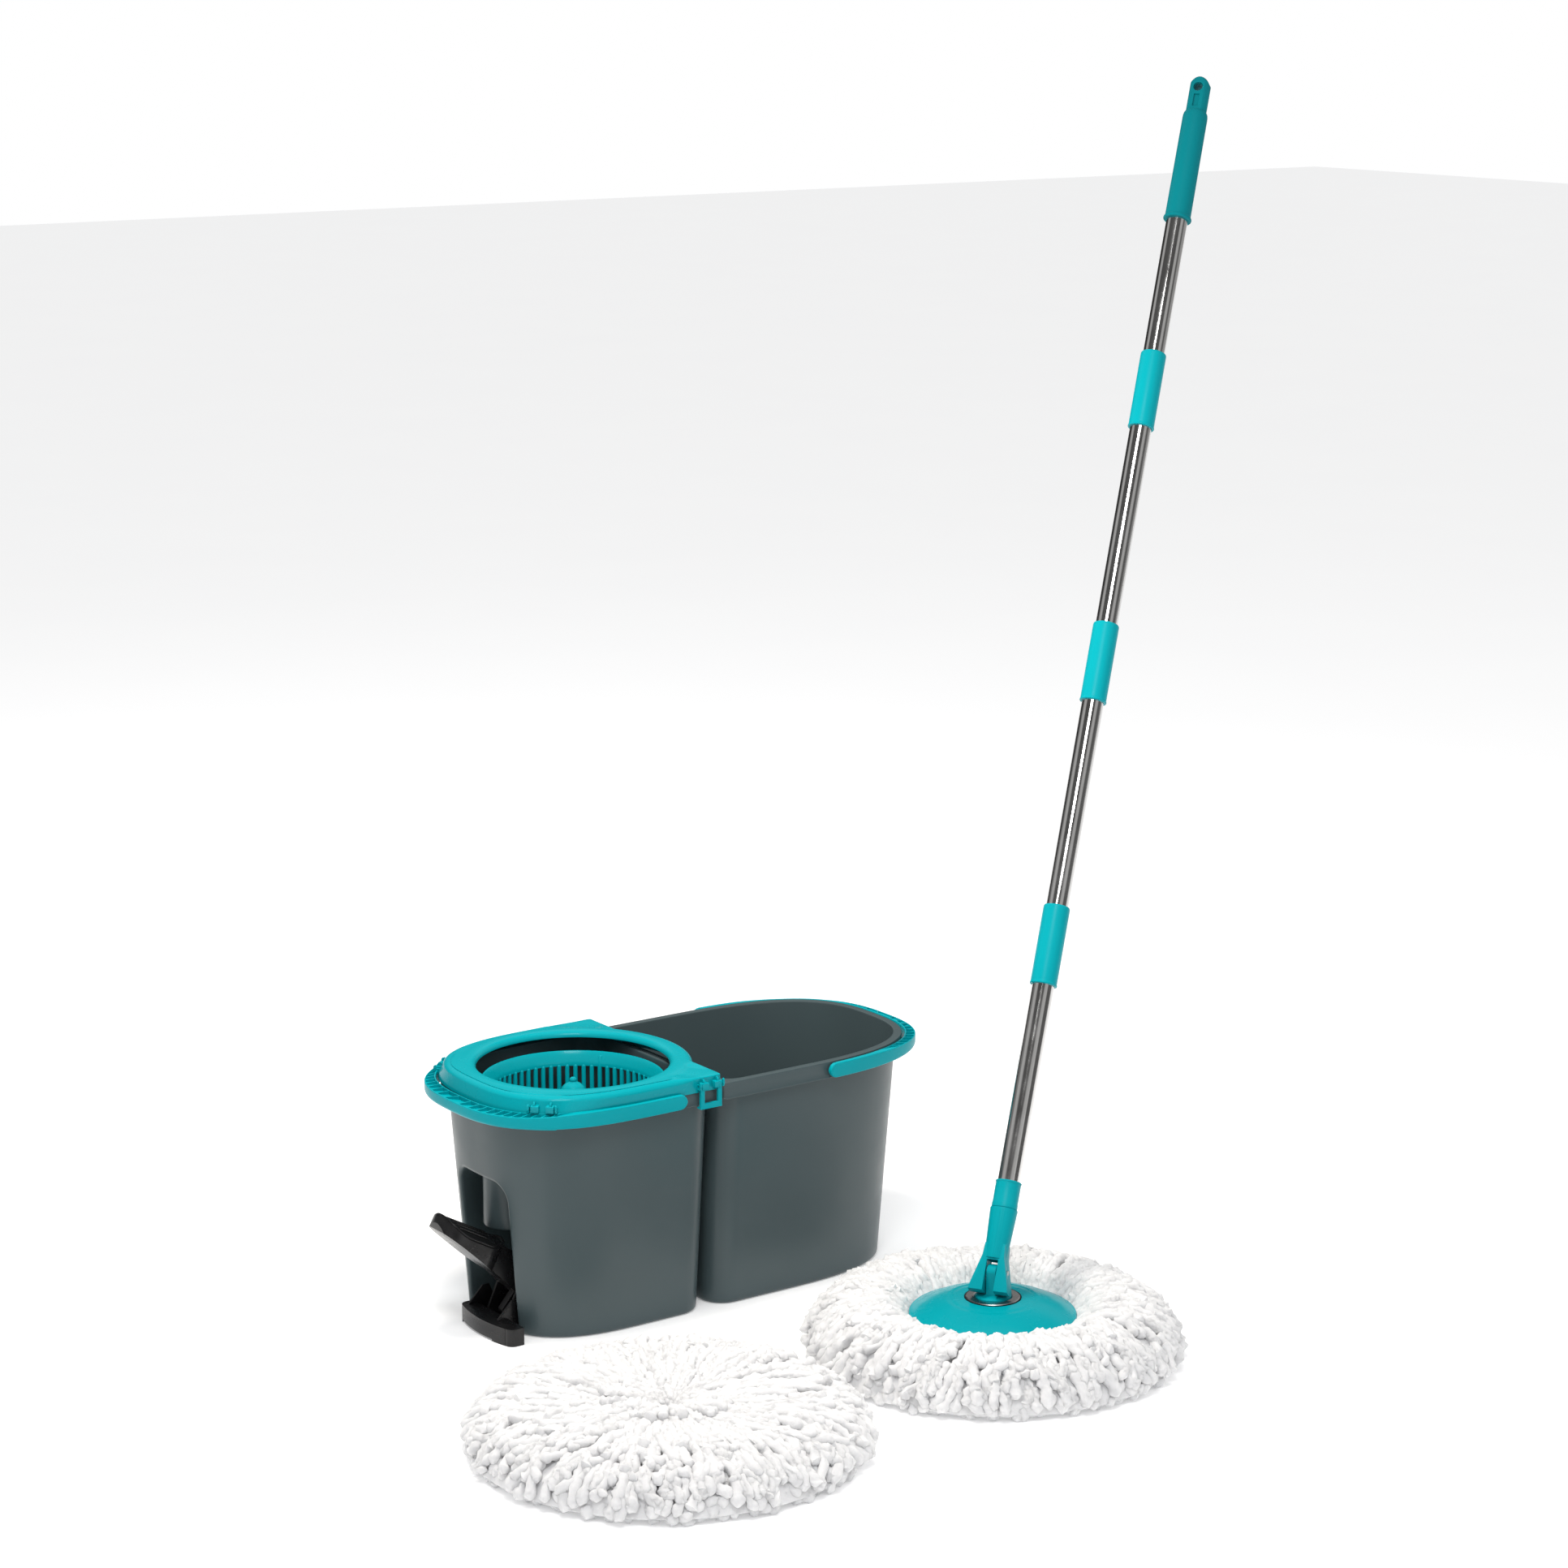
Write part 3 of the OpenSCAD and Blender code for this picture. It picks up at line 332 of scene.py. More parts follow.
def softened(node, look, body, offset=0.5, segments=2):
    """A copy of a CAD node with its flat faces merged and its edges rounded."""
    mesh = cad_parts[node].data.copy()
    bm = bmesh.new()
    bm.from_mesh(mesh)
    bmesh.ops.remove_doubles(bm, verts=bm.verts, dist=2e-6)
    bmesh.ops.dissolve_limit(bm, angle_limit=math.radians(0.4), verts=bm.verts, edges=bm.edges)
    edges = [e for e in bm.edges if len(e.link_faces) == 2
             and e.calc_face_angle(0) > SHARP_EDGE]
    bmesh.ops.bevel(bm, geom=edges, offset=offset * MM, offset_type="OFFSET", segments=segments,
                    profile=0.5, affect="EDGES", clamp_overlap=True)
    for custom in list(mesh.attributes):
        if custom.name == "custom_normal":
            mesh.attributes.remove(custom)
    bm.to_mesh(mesh)
    bm.free()
    return add_mesh(f"{node}_shown", mesh, look, body, [node])


def dress(nodes, look):
    """Gives CAD nodes that keep their own shape a material."""
    for node in nodes:
        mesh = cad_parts[node].data
        mesh.materials.clear()
        mesh.materials.append(LOOKS[look])


# ------------------------------------------------------- bucket dimensions

RINSE_HIGH = box_mm("rinse_bucket")[1]
WRINGER_LOW = box_mm("wringer_bucket")[0]

HALF_W = 116.3
RIM_Z = RINSE_HIGH.z
JOIN_X = -25.5
# Plan of each half: length of its straight sides, and reach of its round end
RINSE_D = (92.0, RINSE_HIGH.x - JOIN_X - 92.6)
WRINGER_D = (76.0, JOIN_X - 76.6 - WRINGER_LOW.x)
CURVE_POWER = 2.8
WALL = 2.4
FLANGE_H = 17.0
WALL_CORNER_R, FLANGE_CORNER_R = 26.0, 6.0
FOOT_R = 5.0
SUMP_Z = 30.0
BASKET_LOW, BASKET_HIGH = box_mm("spin_basket")
BASKET_X = (BASKET_LOW.x + BASKET_HIGH.x) / 2
HOOK_Y = 80

# Carrying handles: heights, and pivots along each half from the junction
BAIL_LOW_Z, BAIL_HIGH_Z = 221.5, 236.5
BAIL_PIVOT_Z = 229.0
RINSE_PIVOT, WRINGER_PIVOT = 133.5, 52.0


def spow(value, power):
    """A power that keeps the sign."""
    return math.copysign(abs(value) ** power, value)


def end_curve(half_w, straight, reach):
    """The round end of one half, from its front side to its back side."""
    points, steps, power = [], 150, 2 / CURVE_POWER
    for i in range(steps + 1):
        t = math.radians(-90 + 180 * i / steps)
        points.append((straight + reach * spow(math.cos(t), power),
                       half_w * spow(math.sin(t), power)))
    return points


def between(a, b, steps):
    """Points from a to b without the last one."""
    return [(a[0] + (b[0] - a[0]) * i / steps, a[1] + (b[1] - a[1]) * i / steps)
            for i in range(steps)]


def plan(d, inset, junction_in, corner_r, z):
    """Ring of one half's outline at a height, with the junction at x = 0."""
    b = HALF_W - inset
    curve = end_curve(b, d[0], d[1] - inset)
    cx, cy = junction_in + corner_r, b - corner_r
    top = arc(cx, cy, corner_r, 90, 180, 10)
    low = arc(cx, -cy, corner_r, 180, 270, 10)
    points = (curve[:-1] + between(curve[-1], top[0], 12) + top[:-1]
              + between(top[-1], low[0], 24) + low[:-1] + between(low[-1], curve[0], 12))
    return [(x, y, z) for x, y in points]


def inset_at(z):
    """How far the tapering wall stands inside the flange at a height."""
    return 22 - 16.5 * z / RIM_Z


def wall_ring(d, grow, z):
    """Outline of the wall at a height, drawn in by grow."""
    return plan(d, inset_at(z) + grow, 5 - 2.5 * z / RIM_Z + grow, WALL_CORNER_R - grow, z)


def flange_ring(d, inset, z):
    """Outline of the flange at a height, drawn in by inset."""
    return plan(d, inset, 0.6 + min(inset, 1.0), FLANGE_CORNER_R - max(0.0, inset), z)


def outer_rings(d):
    """Foot, wall, flange and rim of one half, from the floor up and over to the inside."""
    foot = FLANGE_H
    rings = [wall_ring(d, FOOT_R * (1 - math.sin(math.radians(t))),
                       FOOT_R * (1 - math.cos(math.radians(t)))) for t in range(0, 91, 15)]
    rings += [wall_ring(d, 0, z) for z in range(14, 216, 8)]
    rings += [wall_ring(d, 0, RIM_Z - foot - 1), wall_ring(d, 0, RIM_Z - 3.4)]
    rings += [flange_ring(d, inset, RIM_Z - drop) for inset, drop in [
        (3.0, 2.7), (2.4, 3.4), (2.4, foot - 0.5), (2.0, foot), (0.1, foot), (-0.4, foot - 0.2),
        (-0.6, foot - 0.6), (-0.55, foot - 1.1), (-0.2, foot - 1.5), (0, foot - 1.9), (0, 8),
        (0, 1.0), (0.1, 0.55), (0.3, 0.2), (0.7, 0), (1.5, 0)]]
    inner = [(-1.5, 0), (-0.5, 0.03), (-0.15, 0.25), (0.0, 0.7), (0.0, 1.6)]
    rings += [wall_ring(d, WALL + grow, RIM_Z - drop) for grow, drop in inner]
    return rings


def inner_rings(d, floor):
    """Inside of one half, from below the rim down to the fillet round its floor."""
    rings = [wall_ring(d, WALL, z) for z in range(int(RIM_Z) - 8, int(floor) + 12, -10)]
    return rings + [wall_ring(d, WALL + 5 * (1 - math.cos(math.radians(t))),
                              floor + 5 * (1 - math.sin(math.radians(t))))
                    for t in range(0, 91, 15)]


def at_half(side):
    """The frame of the rinse half, 1, or of the wringer half, -1."""
    return Matrix.Translation((JOIN_X, 0, 0)) @ Matrix.Diagonal((side, 1, 1, 1))


def solid(name, verts, faces, place=None):
    """A scratch object for cutting, in millimetres."""
    mesh = bpy.data.meshes.new(name)
    mesh.from_pydata([place @ Vector(v) if place else Vector(v) for v in verts], [], faces)
    bm = bmesh.new()
    bm.from_mesh(mesh)
    bmesh.ops.recalc_face_normals(bm, faces=bm.faces)
    bm.to_mesh(mesh)
    bm.free()
    made = bpy.data.objects.new(name, mesh)
    bpy.context.scene.collection.objects.link(made)
    return made


def cut(base, cutters):
    """Cuts one scratch object by others and returns its new mesh, in millimetres."""
    for cutter in cutters:
        change = base.modifiers.new("cut", "BOOLEAN")
        change.operation, change.object, change.solver = "DIFFERENCE", cutter, "EXACT"
    bpy.context.view_layer.update()
    graph = bpy.context.evaluated_depsgraph_get()
    mesh = bpy.data.meshes.new_from_object(base.evaluated_get(graph))
    for scratch in [base, *cutters]:
        bpy.data.objects.remove(scratch)
    return mesh


def block(low, high):
    """Vertices and faces of a box between two corners."""
    (x0, y0, z0), (x1, y1, z1) = low, high
    ring = [(x0, y0), (x1, y0), (x1, y1), (x0, y1)]
    return loft([[(x, y, z) for x, y in ring] for z in (z0, z1)])


def bar(points, z0, z1, edge=0.6, steps=3):
    """An upright prism on a closed outline, with its top and bottom edges rounded."""
    centre = sum((Vector(p) for p in points), Vector((0, 0))) / len(points)

    def ring(turn, z, way):
        by = edge * (1 - math.cos(math.radians(turn)))
        lift = way * edge * (1 - math.sin(math.radians(turn)))
        return [(*(Vector(p) - (Vector(p) - centre).normalized() * by), z + lift) for p in points]

    turns = [90 * k / steps for k in range(steps + 1)]
    return loft([ring(t, z0, 1) for t in turns[::-1]] + [ring(t, z1, -1) for t in turns])


def bail_bore_cutters(pivot_x):
    """Short cylinders through the flange where a carrying handle's pins sit."""
    cutters = []
    for s in (-1, 1):
        verts, faces = lathe([(4.06, -4), (4.06, 4)], 48)
        place = Matrix.Translation((pivot_x, s * (HALF_W - 1.8), BAIL_PIVOT_Z))
        cutters.append(solid("bore", verts, faces, place @ Matrix.Rotation(math.pi / 2, 4, "X")))
    return cutters


# ------------------------------------------------------------ rinse bucket

def rinse_shell():
    """Hollow shell of the rinse half, with notches for the other half's hooks."""
    rings = outer_rings(RINSE_D) + inner_rings(RINSE_D, 3.0)
    base = solid("rinse", *loft(rings), at_half(1))
    cutters = bail_bore_cutters(JOIN_X + RINSE_PIVOT)
    for s in (-1, 1):
        middle = s * HOOK_Y
        notch = block((JOIN_X - 1, middle - 8, 229), (JOIN_X + 14, middle + 8, 240))
        cutters.append(solid("notch", *notch))
    mesh = cut(base, cutters)
    mesh.transform(Matrix.Scale(MM, 4))
    add_mesh("rinse_shell", mesh, "grey", "rinse_half", ["rinse_bucket"])


rinse_shell()


# ---------------------------------------------------------- wringer bucket

DOOR_HALF_W = 43.0
DOOR_TOP = 152.0
DOOR_CORNER = 18.0
NICHE_BACK_X = -168.0
COLUMN_X, COLUMN_R, COLUMN_Z = -199.0, 24.0, 98.0
MOUTH_R = 5.0


def door_outline(grow, bottom=0.2):
    """Arch from the floor at the front side over the top to the floor at the back side."""
    w, r, top = DOOR_HALF_W + grow, DOOR_CORNER + grow, DOOR_TOP + grow
    rise = between((-w, bottom), (-w, top - r), 16)
    points = (rise + arc(-w + r, top - r, r, 180, 90, 12)[:-1]
              + between((-w + r, top), (w - r, top), 6) + arc(w - r, top - r, r, 90, 0, 12)[:-1]
              + between((w, top - r), (w, bottom), 16) + [(w, bottom)])
    return points


def wall_x(y, z):
    """Where the wringer half's outer wall stands at its round end."""
    foot = max(0.0, FOOT_R - z)
    grow = FOOT_R - math.sqrt(max(0.0, FOOT_R ** 2 - foot ** 2))
    inset = inset_at(z) + grow
    b, a = HALF_W - inset, WRINGER_D[1] - inset
    share = max(0.0, 1 - abs(y / b) ** CURVE_POWER)
    return JOIN_X - WRINGER_D[0] - a * share ** (1 / CURVE_POWER)


def niche_liner():
    """Rounded mouth and side walls of the recess behind the doorway."""
    near, far = door_outline(0), door_outline(MOUTH_R + 0.4)
    rings = []
    for (y0, z0), (y1, z1) in zip(near, far):
        normal = Vector((y1 - y0, z1 - z0)) / (MOUTH_R + 0.4)

        def spot(off, depth, x=None):
            y, z = y0 + normal.x * off, z0 + normal.y * off
            return (wall_x(y, z) + depth if x is None else x, y, z)

        section = [spot(MOUTH_R + 0.3, 0.06)]
        for t in range(0, 91, 15):
            section.append(spot(MOUTH_R * (1 - math.sin(math.radians(t))),
                                MOUTH_R * (1 - math.cos(math.radians(t)))))
        start = wall_x(y0, z0) + MOUTH_R
        section += [spot(0, 0, start + (NICHE_BACK_X + 1 - start) * k / 6) for k in range(1, 7)]
        section += [spot(WALL, 0, NICHE_BACK_X + 1), spot(WALL, MOUTH_R + 2),
                    spot(MOUTH_R + WALL, WALL + 0.3), spot(MOUTH_R + WALL, 1.2)]
        rings.append(section)
    return loft(rings)


def niche_back():
    """Back wall of the recess, and the shallower wall above it with the half-round column."""
    def half_at(z):
        over = max(0.0, z - DOOR_TOP + DOOR_CORNER)
        return DOOR_HALF_W - DOOR_CORNER + math.sqrt(max(0.0, DOOR_CORNER ** 2 - over ** 2)) + 1

    behind = NICHE_BACK_X + WALL
    low = [[(x, y, z) for x, y in [(NICHE_BACK_X, -half_at(z)), (NICHE_BACK_X, half_at(z)),
                                   (behind, half_at(z)), (behind, -half_at(z))]]
           for z in (0.2, COLUMN_Z + 1)]
    rows = []
    for z, r in [(COLUMN_Z, COLUMN_R - 2), (COLUMN_Z + 0.6, COLUMN_R - 0.6),
                 (COLUMN_Z + 2, COLUMN_R), *[(z, COLUMN_R) for z in range(106, 153, 3)]]:
        half = half_at(z)
        wing = COLUMN_R + 5
        side = [(COLUMN_X, half - (half - wing) * k / 4) for k in range(4)]
        side += [(COLUMN_X - 0.4, wing - 1.5), (COLUMN_X - 1.6, wing - 3.2)]
        round_face = [(COLUMN_X - r * math.sin(math.radians(t)), r * math.cos(math.radians(t)))
                      for t in range(14, 167, 4)]
        row = side + round_face + [(x, -y) for x, y in side[::-1]]
        rows.append([(x, y, z) for x, y in row + [(behind, -half), (behind, half)]])
    return Build().add(*loft(low)).add(*loft(rows))


def boss(x, y, z0, z1, r, pilot):
    """A round post with a pilot hole, and the place where it stands."""
    verts, faces = lathe([(r, z0), (r, z1), (pilot, z1), (pilot, z0)], 40, closed=True)
    return verts, faces, Matrix.Translation((x, y, 0))


def rounded_block(low, high, edge=0.5):
    """A block between two corners with its edges rounded."""
    (x0, y0, z0), (x1, y1, z1) = low, high
    outline = rounded([(x0, y0), (x1, y0), (x1, y1), (x0, y1)], edge, 3)
    return bar(outline, z0, z1, edge)


BASE_BOSSES = [(-182, 62), (-182, -62), (-90, 62), (-90, -62)]
IDLER_BOSS = (-156.25, 0)


def wringer_shell():
    """Shell of the wringer half, with its doorway, drive bay, spindle column and hooks."""
    d = WRINGER_D
    ceiling = SUMP_Z - 3
    bay = [wall_ring(d, grow, z) for grow, z in [
        (9, ceiling), (7.4, ceiling - 0.5), (6.4, ceiling - 2), (6.2, ceiling - 5), (5.9, 12),
        (5.7, 1.2), (5.5, 0.2), (5.2, 0)]]
    rings = bay + outer_rings(d) + inner_rings(d, SUMP_Z)
    base = solid("wringer", *loft(rings), at_half(-1))
    cutters = bail_bore_cutters(JOIN_X - WRINGER_PIVOT)
    for grow, x0, x1 in [(MOUTH_R, -262, -209), (1.2, -210, NICHE_BACK_X + 1.2)]:
        outline = door_outline(grow, -5)
        verts, faces = loft([[(x, y, z) for y, z in outline] for x in (x0, x1)])
        cutters.append(solid("doorway", verts, faces))
    mesh = cut(base, cutters)
    part = Build().add([v.co for v in mesh.vertices], [tuple(p.vertices) for p in mesh.polygons])
    bpy.data.meshes.remove(mesh)
    part.add(*niche_liner())
    back = niche_back()
    part.add(back.verts, back.faces)
    chimney = [(10, 28), (10, 199), (9.6, 200), (6.3, 200), (6, 199.6), (6, 28)]
    part.add(*lathe(chimney, 64, closed=True), Matrix.Translation((BASKET_X, 0, 0)))
    for x, y in BASE_BOSSES:
        part.add(*boss(x, y, 5, 28, 5, 1.6))
    part.add(*boss(*IDLER_BOSS, 20.8, 28, 6, 3))
    for s in (-1, 1):
        low = s * HOOK_Y - 7
        part.add(*rounded_block((JOIN_X - 4, low, 229.6), (JOIN_X + 8, low + 14, 232)))
        part.add(*rounded_block((JOIN_X + 5.8, low, 212), (JOIN_X + 8, low + 14, 232)))
    add_piece("wringer_shell", part.verts, part.faces, "grey", "wringer_half",
              ["wringer_bucket"])


wringer_shell()


# ------------------------------------------------------- carrying handles

def smoothstep(low, high, value):
    """From 0 to 1 between two values, level at both ends."""
    t = min(1.0, max(0.0, (value - low) / (high - low)))
    return t * t * (3 - 2 * t)


def bail_section(width, deep, half_h, turn):
    """Closed section from the inner edge (0) to the outer edge, hollow to a depth."""
    mid = (BAIL_LOW_Z + BAIL_HIGH_Z) / 2
    top, low = mid + half_h, mid - half_h
    fall = 2.6 * turn * smoothstep(5.5, 8.5, width)
    e = min(1.1, half_h * 0.6, width * 0.3)
    bend = min(e + 3.2 * turn, half_h)
    wall_w = min(1.5, width * 0.34)
    pocket = top - deep
    points = [(wall_w, pocket), (wall_w, top - min(0.5, deep)), (wall_w - 0.35, top)]
    points += arc(e, top - e, e, 90, 180, 4) + arc(e, low + e, e, 180, 270, 4)
    points += [(width - bend + bend * math.sin(math.radians(t)),
                low + bend - bend * math.cos(math.radians(t))) for t in range(0, 91, 15)]
    points += [(u, z - fall) for u, z in arc(width - e, top - e, e, 0, 90, 4)]
    points += [(width - wall_w + 0.35, top - fall),
               (width - wall_w, top - fall - min(0.5, deep)),
               (width - wall_w, min(pocket, top - fall - min(0.5, deep)))]
    return points


def bail(name, side, d, pivot, inner, outer, body, node):
    """A carrying handle: flat arms with round ends, and a pocketed channel round the end."""
    steps = 220
    half = (BAIL_HIGH_Z - BAIL_LOW_Z) / 2
    power = 2 / CURVE_POWER

    def edges(t):
        """Inner and outer plan points at an angle round the end."""
        return [Vector((d[0] + (d[1] + o[1]) * spow(math.cos(t), power),
                        (HALF_W + o[0]) * spow(math.sin(t), power))) for o in (inner, outer)]

    def across(x, s):
        """Inner and outer plan points at a distance from the junction."""
        found = []
        for o in (inner, outer):
            share = max(0.0, x - d[0]) / (d[1] + o[1])
            found.append(Vector((x, s * (HALF_W + o[0])
                                 * (1 - share ** CURVE_POWER) ** (1 / CURVE_POWER))))
        return found

    def pocket_depth(t, width):
        return 4.2 * smoothstep(0.42, 0.72, math.cos(t)) * smoothstep(5.5, 8.5, width)

    tips = [(pivot - half * math.cos(math.radians(a)), half * math.sin(math.radians(a)))
            for a in (4, 10, 18, 28, 40, 54, 70, 90)]
    tips += [(x, half) for x, _ in between((pivot, 0), (d[0], 0), 12)[1:] if x > pivot]
    reach = max(0.0, pivot + 1 - d[0]) / (d[1] + outer[1])
    last = math.acos(reach ** (1 / power))
    run = [[(*across(x, s), h, None) for x, h in tips] for s in (-1, 1)]
    turns = [-last + 2 * last * i / steps for i in range(steps + 1)]
    stations = run[0] + [(*edges(t), half, t) for t in turns] + run[1][::-1]
    rings = []
    for a, b, half_h, t in stations:
        width = (b - a).length
        along = (b - a) / width
        turn = 0.0 if t is None else smoothstep(0.2, 0.9, math.cos(t))
        deep = 0.0 if t is None else pocket_depth(t, width)
        rings.append([(*(a + along * u), z) for u, z in
                      bail_section(width, deep, half_h, turn)])
    part = Build().add(*loft(rings))
    for i in range(-16, 17):
        t = math.radians(i * 5.0)
        (a, b), (c, e) = edges(t), edges(t + math.radians(2.2))
        width = (b - a).length
        deep = pocket_depth(t, width)
        if deep < 0.8:
            continue
        start, stop = a.lerp(b, 1.2 / width), c.lerp(e, 1 - 1.2 / width)
        thick = Vector(((start - stop).y, (stop - start).x)).normalized() * 0.75
        outline = [start - thick, stop - thick, stop + thick, start + thick]
        fall = 2.6 * smoothstep(5.5, 8.5, width) * smoothstep(0.2, 0.9, math.cos(t))
        drops = [0.4, fall + 0.4, fall + 0.4, 0.4]
        low = BAIL_HIGH_Z - deep - 0.6
        part.add(*loft([[(*p, low) for p in outline],
                        [(*p, BAIL_HIGH_Z - drop) for p, drop in zip(outline, drops)]]))
    for s in (-1, 1):
        pin, faces = lathe([(0.4, -7), (3.6, -7), (4.0, -6.6), (4.0, 0.6)], 40)
        place = (Matrix.Translation((pivot, s * (HALF_W + inner[0]), BAIL_PIVOT_Z))
                 @ Matrix.Rotation(-s * math.pi / 2, 4, "X"))
        part.add(pin, faces, place)
    verts = [at_half(side) @ v for v in part.verts]
    add_piece(name, verts, part.faces, "teal_satin", body, [node])


bail("rinse_carrying_handle", 1, RINSE_D, RINSE_PIVOT, (2.3, 3.4), (6.9, 16), "rinse_handle",
     "rinse_bail")
bail("wringer_carrying_handle", -1, WRINGER_D, WRINGER_PIVOT, (2.3, 5.5), (6.9, 18),
     "wringer_handle", "wringer_bail")


# ------------------------------------------------------------ wringer cover

COVER_Z = 250.5
RING_R = 117.0
HOLE_R = 94.6
SKIRT = 3.4
END_FLARE = 4.2
HINGE_Z = 241.0
LATCH_X, LATCH_Y = -42, 121
END_LATCH, END_LATCH_TURN = (-214, 92.2), 42.6


def cover_outline():
    """Outline of the cover around the basket's axis: D plan joined with the round ring."""
    b, edge_x = HALF_W + 1.5, JOIN_X - 2 - BASKET_X
    cross = math.degrees(math.acos(edge_x / RING_R))
    ring = arc(0, 0, RING_R, -cross, cross, 48)
    points = between((edge_x, ring[-1][1]), (edge_x, b - 2.5), 12)[1:]
    points += arc(edge_x - 2.5, b - 2.5, 2.5, 0, 90, 6)
    start = JOIN_X - WRINGER_D[0] - BASKET_X
    points += between((edge_x - 2.5, b), (start, b), 24)[1:]
    power = 2 / CURVE_POWER
    for i in range(81):
        t = math.radians(90 - 90 * i / 80)
        points.append((start - (WRINGER_D[1] - 3) * spow(math.cos(t), power),
                       b * spow(math.sin(t), power)))
    mirrored = [(x, -y) for x, y in points[::-1]]
    return ring + points + mirrored[1:]


def cover_section(reach, flare):
    """Section of the cover from the lip of its hole to the outline at a distance."""
    corner = smoothstep(8, 22, reach - RING_R)
    e = 6.5 - 4.9 * corner
    deck = COVER_Z - 0.4 - 1.7 * corner
    points = [(HOLE_R + 5.9 - 5.9 * math.cos(math.radians(t)),
               COVER_Z - 5.5 + 5.7 * math.sin(math.radians(t))) for t in range(0, 91, 10)]
    crest = min(reach - e, RING_R - 7)
    points += [(HOLE_R + 9, COVER_Z + 0.5), ((HOLE_R + 9 + crest) / 2, COVER_Z + 0.45)]
    edge = reach - e
    shoulder = max(crest + 0.5, min(edge, RING_R + 1.5))
    for share, drop in [(0.0, 0.1), (0.3, -0.5), (0.5, -1.2), (0.7, -1.7), (1.0, -1.7)]:
        points.append((crest + (shoulder - crest) * share, COVER_Z + 0.2 + drop * corner))
    points += [(shoulder + (edge - shoulder) * k / 3, deck) for k in (1, 2)]
    points += [(edge + e * math.sin(math.radians(t)),
                deck - e * 0.85 * (1 - math.cos(math.radians(t)))) for t in range(0, 91, 15)]
    hem = reach + flare
    points += [(hem - 0.2 * flare + 0.15, RIM_Z + 1.4), (hem + 0.1, RIM_Z - SKIRT + 0.3),
               (hem - 0.3, RIM_Z - SKIRT), (hem - 1.2, RIM_Z - SKIRT), (hem - 1.3, RIM_Z + 0.1)]
    inside = reach - WALL
    points += [(inside, RIM_Z + 0.1), (inside, deck - e * 0.85 - 1.2),
               (inside - e * 0.6, deck - 2.6), (max(RING_R - 8, HOLE_R + 12), deck - 2.6),
               (HOLE_R + 7.6, COVER_Z - 2.2), (HOLE_R + 4.4, COVER_Z - 3.6),
               (HOLE_R + 1.6, COVER_Z - 5.9)]
    return points


def slab_on_x(outline, x, thick):
    """A plate across x on a (y, z) outline, with its two edges eased."""
    edge = 0.25
    centre = sum((Vector(p) for p in outline), Vector((0, 0))) / len(outline)
    inner = [Vector(p) - (Vector(p) - centre).normalized() * edge for p in outline]
    rows = [(x - thick / 2, inner), (x - thick / 2 + edge, outline),
            (x + thick / 2 - edge, outline), (x + thick / 2, inner)]
    return loft([[(px, p[0], p[1]) for p in ring] for px, ring in rows])


def cover_lugs(part, place):
    """Two groups of a square block, a pointed tower and a curved blade; outward is +y."""
    tower = rounded([(-5.2, 1.5), (1.6, 1.5), (1.2, 4.2), (-0.6, 6.4), (-2.6, 6.0), (-5.2, 4)],
                    0.4, 3)
    blade = rounded([(-5.2, -3.8), (2.6, -3.8), (4.0, -0.4), (3.4, 3.6), (1.6, 4.6), (0.4, 1.4),
                     (-5.2, 1.2)], 0.6, 3)
    for s in (-1, 1):
        part.add(*rounded_block((s * 7.3 - 3.9, -5, -3.9), (s * 7.3 + 3.9, 2.9, 2.6), 0.6), place)
        part.add(*slab_on_x(tower, s * 8.0, 1.9), place)
        part.add(*slab_on_x(blade, s * 13.3, 1.8), place)


def wringer_cover():
    """The cover with the lugs of its four latches."""
    rings = []
    for x, y in cover_outline():
        reach = math.hypot(x, y)
        rings.append([(BASKET_X + x / reach * r, y / reach * r, z)
                      for r, z in cover_section(reach, END_FLARE * smoothstep(20, 90, -x))])
    part = Build().add(*loft(rings, closed=True))
    for s in (-1, 1):
        side = Matrix.Translation((LATCH_X, s * LATCH_Y, HINGE_Z)) @ Matrix.Diagonal((1, s, 1, 1))
        cover_lugs(part, side)
        # The two at the round end, the far ones a little lower
        x, y = END_LATCH
        end = (Matrix.Translation((x, -s * y, HINGE_Z + min(0, 4 * s)))
               @ Matrix.Rotation(math.radians(-END_LATCH_TURN * s), 4, "Z")
               @ Matrix.Diagonal((1, -s, 1, 1)) @ Matrix.Translation((0, 3.2, 0)))
        cover_lugs(part, end)
    add_piece("cover_shell", part.verts, part.faces, "teal_gloss", "wringer_half",
              ["wringer_cover"])


wringer_cover()
for latch_node, latch_body in (("front_latch", "front_clip"), ("back_latch", "back_clip"),
                               ("end_latches", "wringer_half")):
    softened(latch_node, "teal_satin", latch_body, 0.7, 3)


# ------------------------------------------------------------------- basket

BASKET_R = 82.8
SLOTS = 64
TALL_RIB = 7


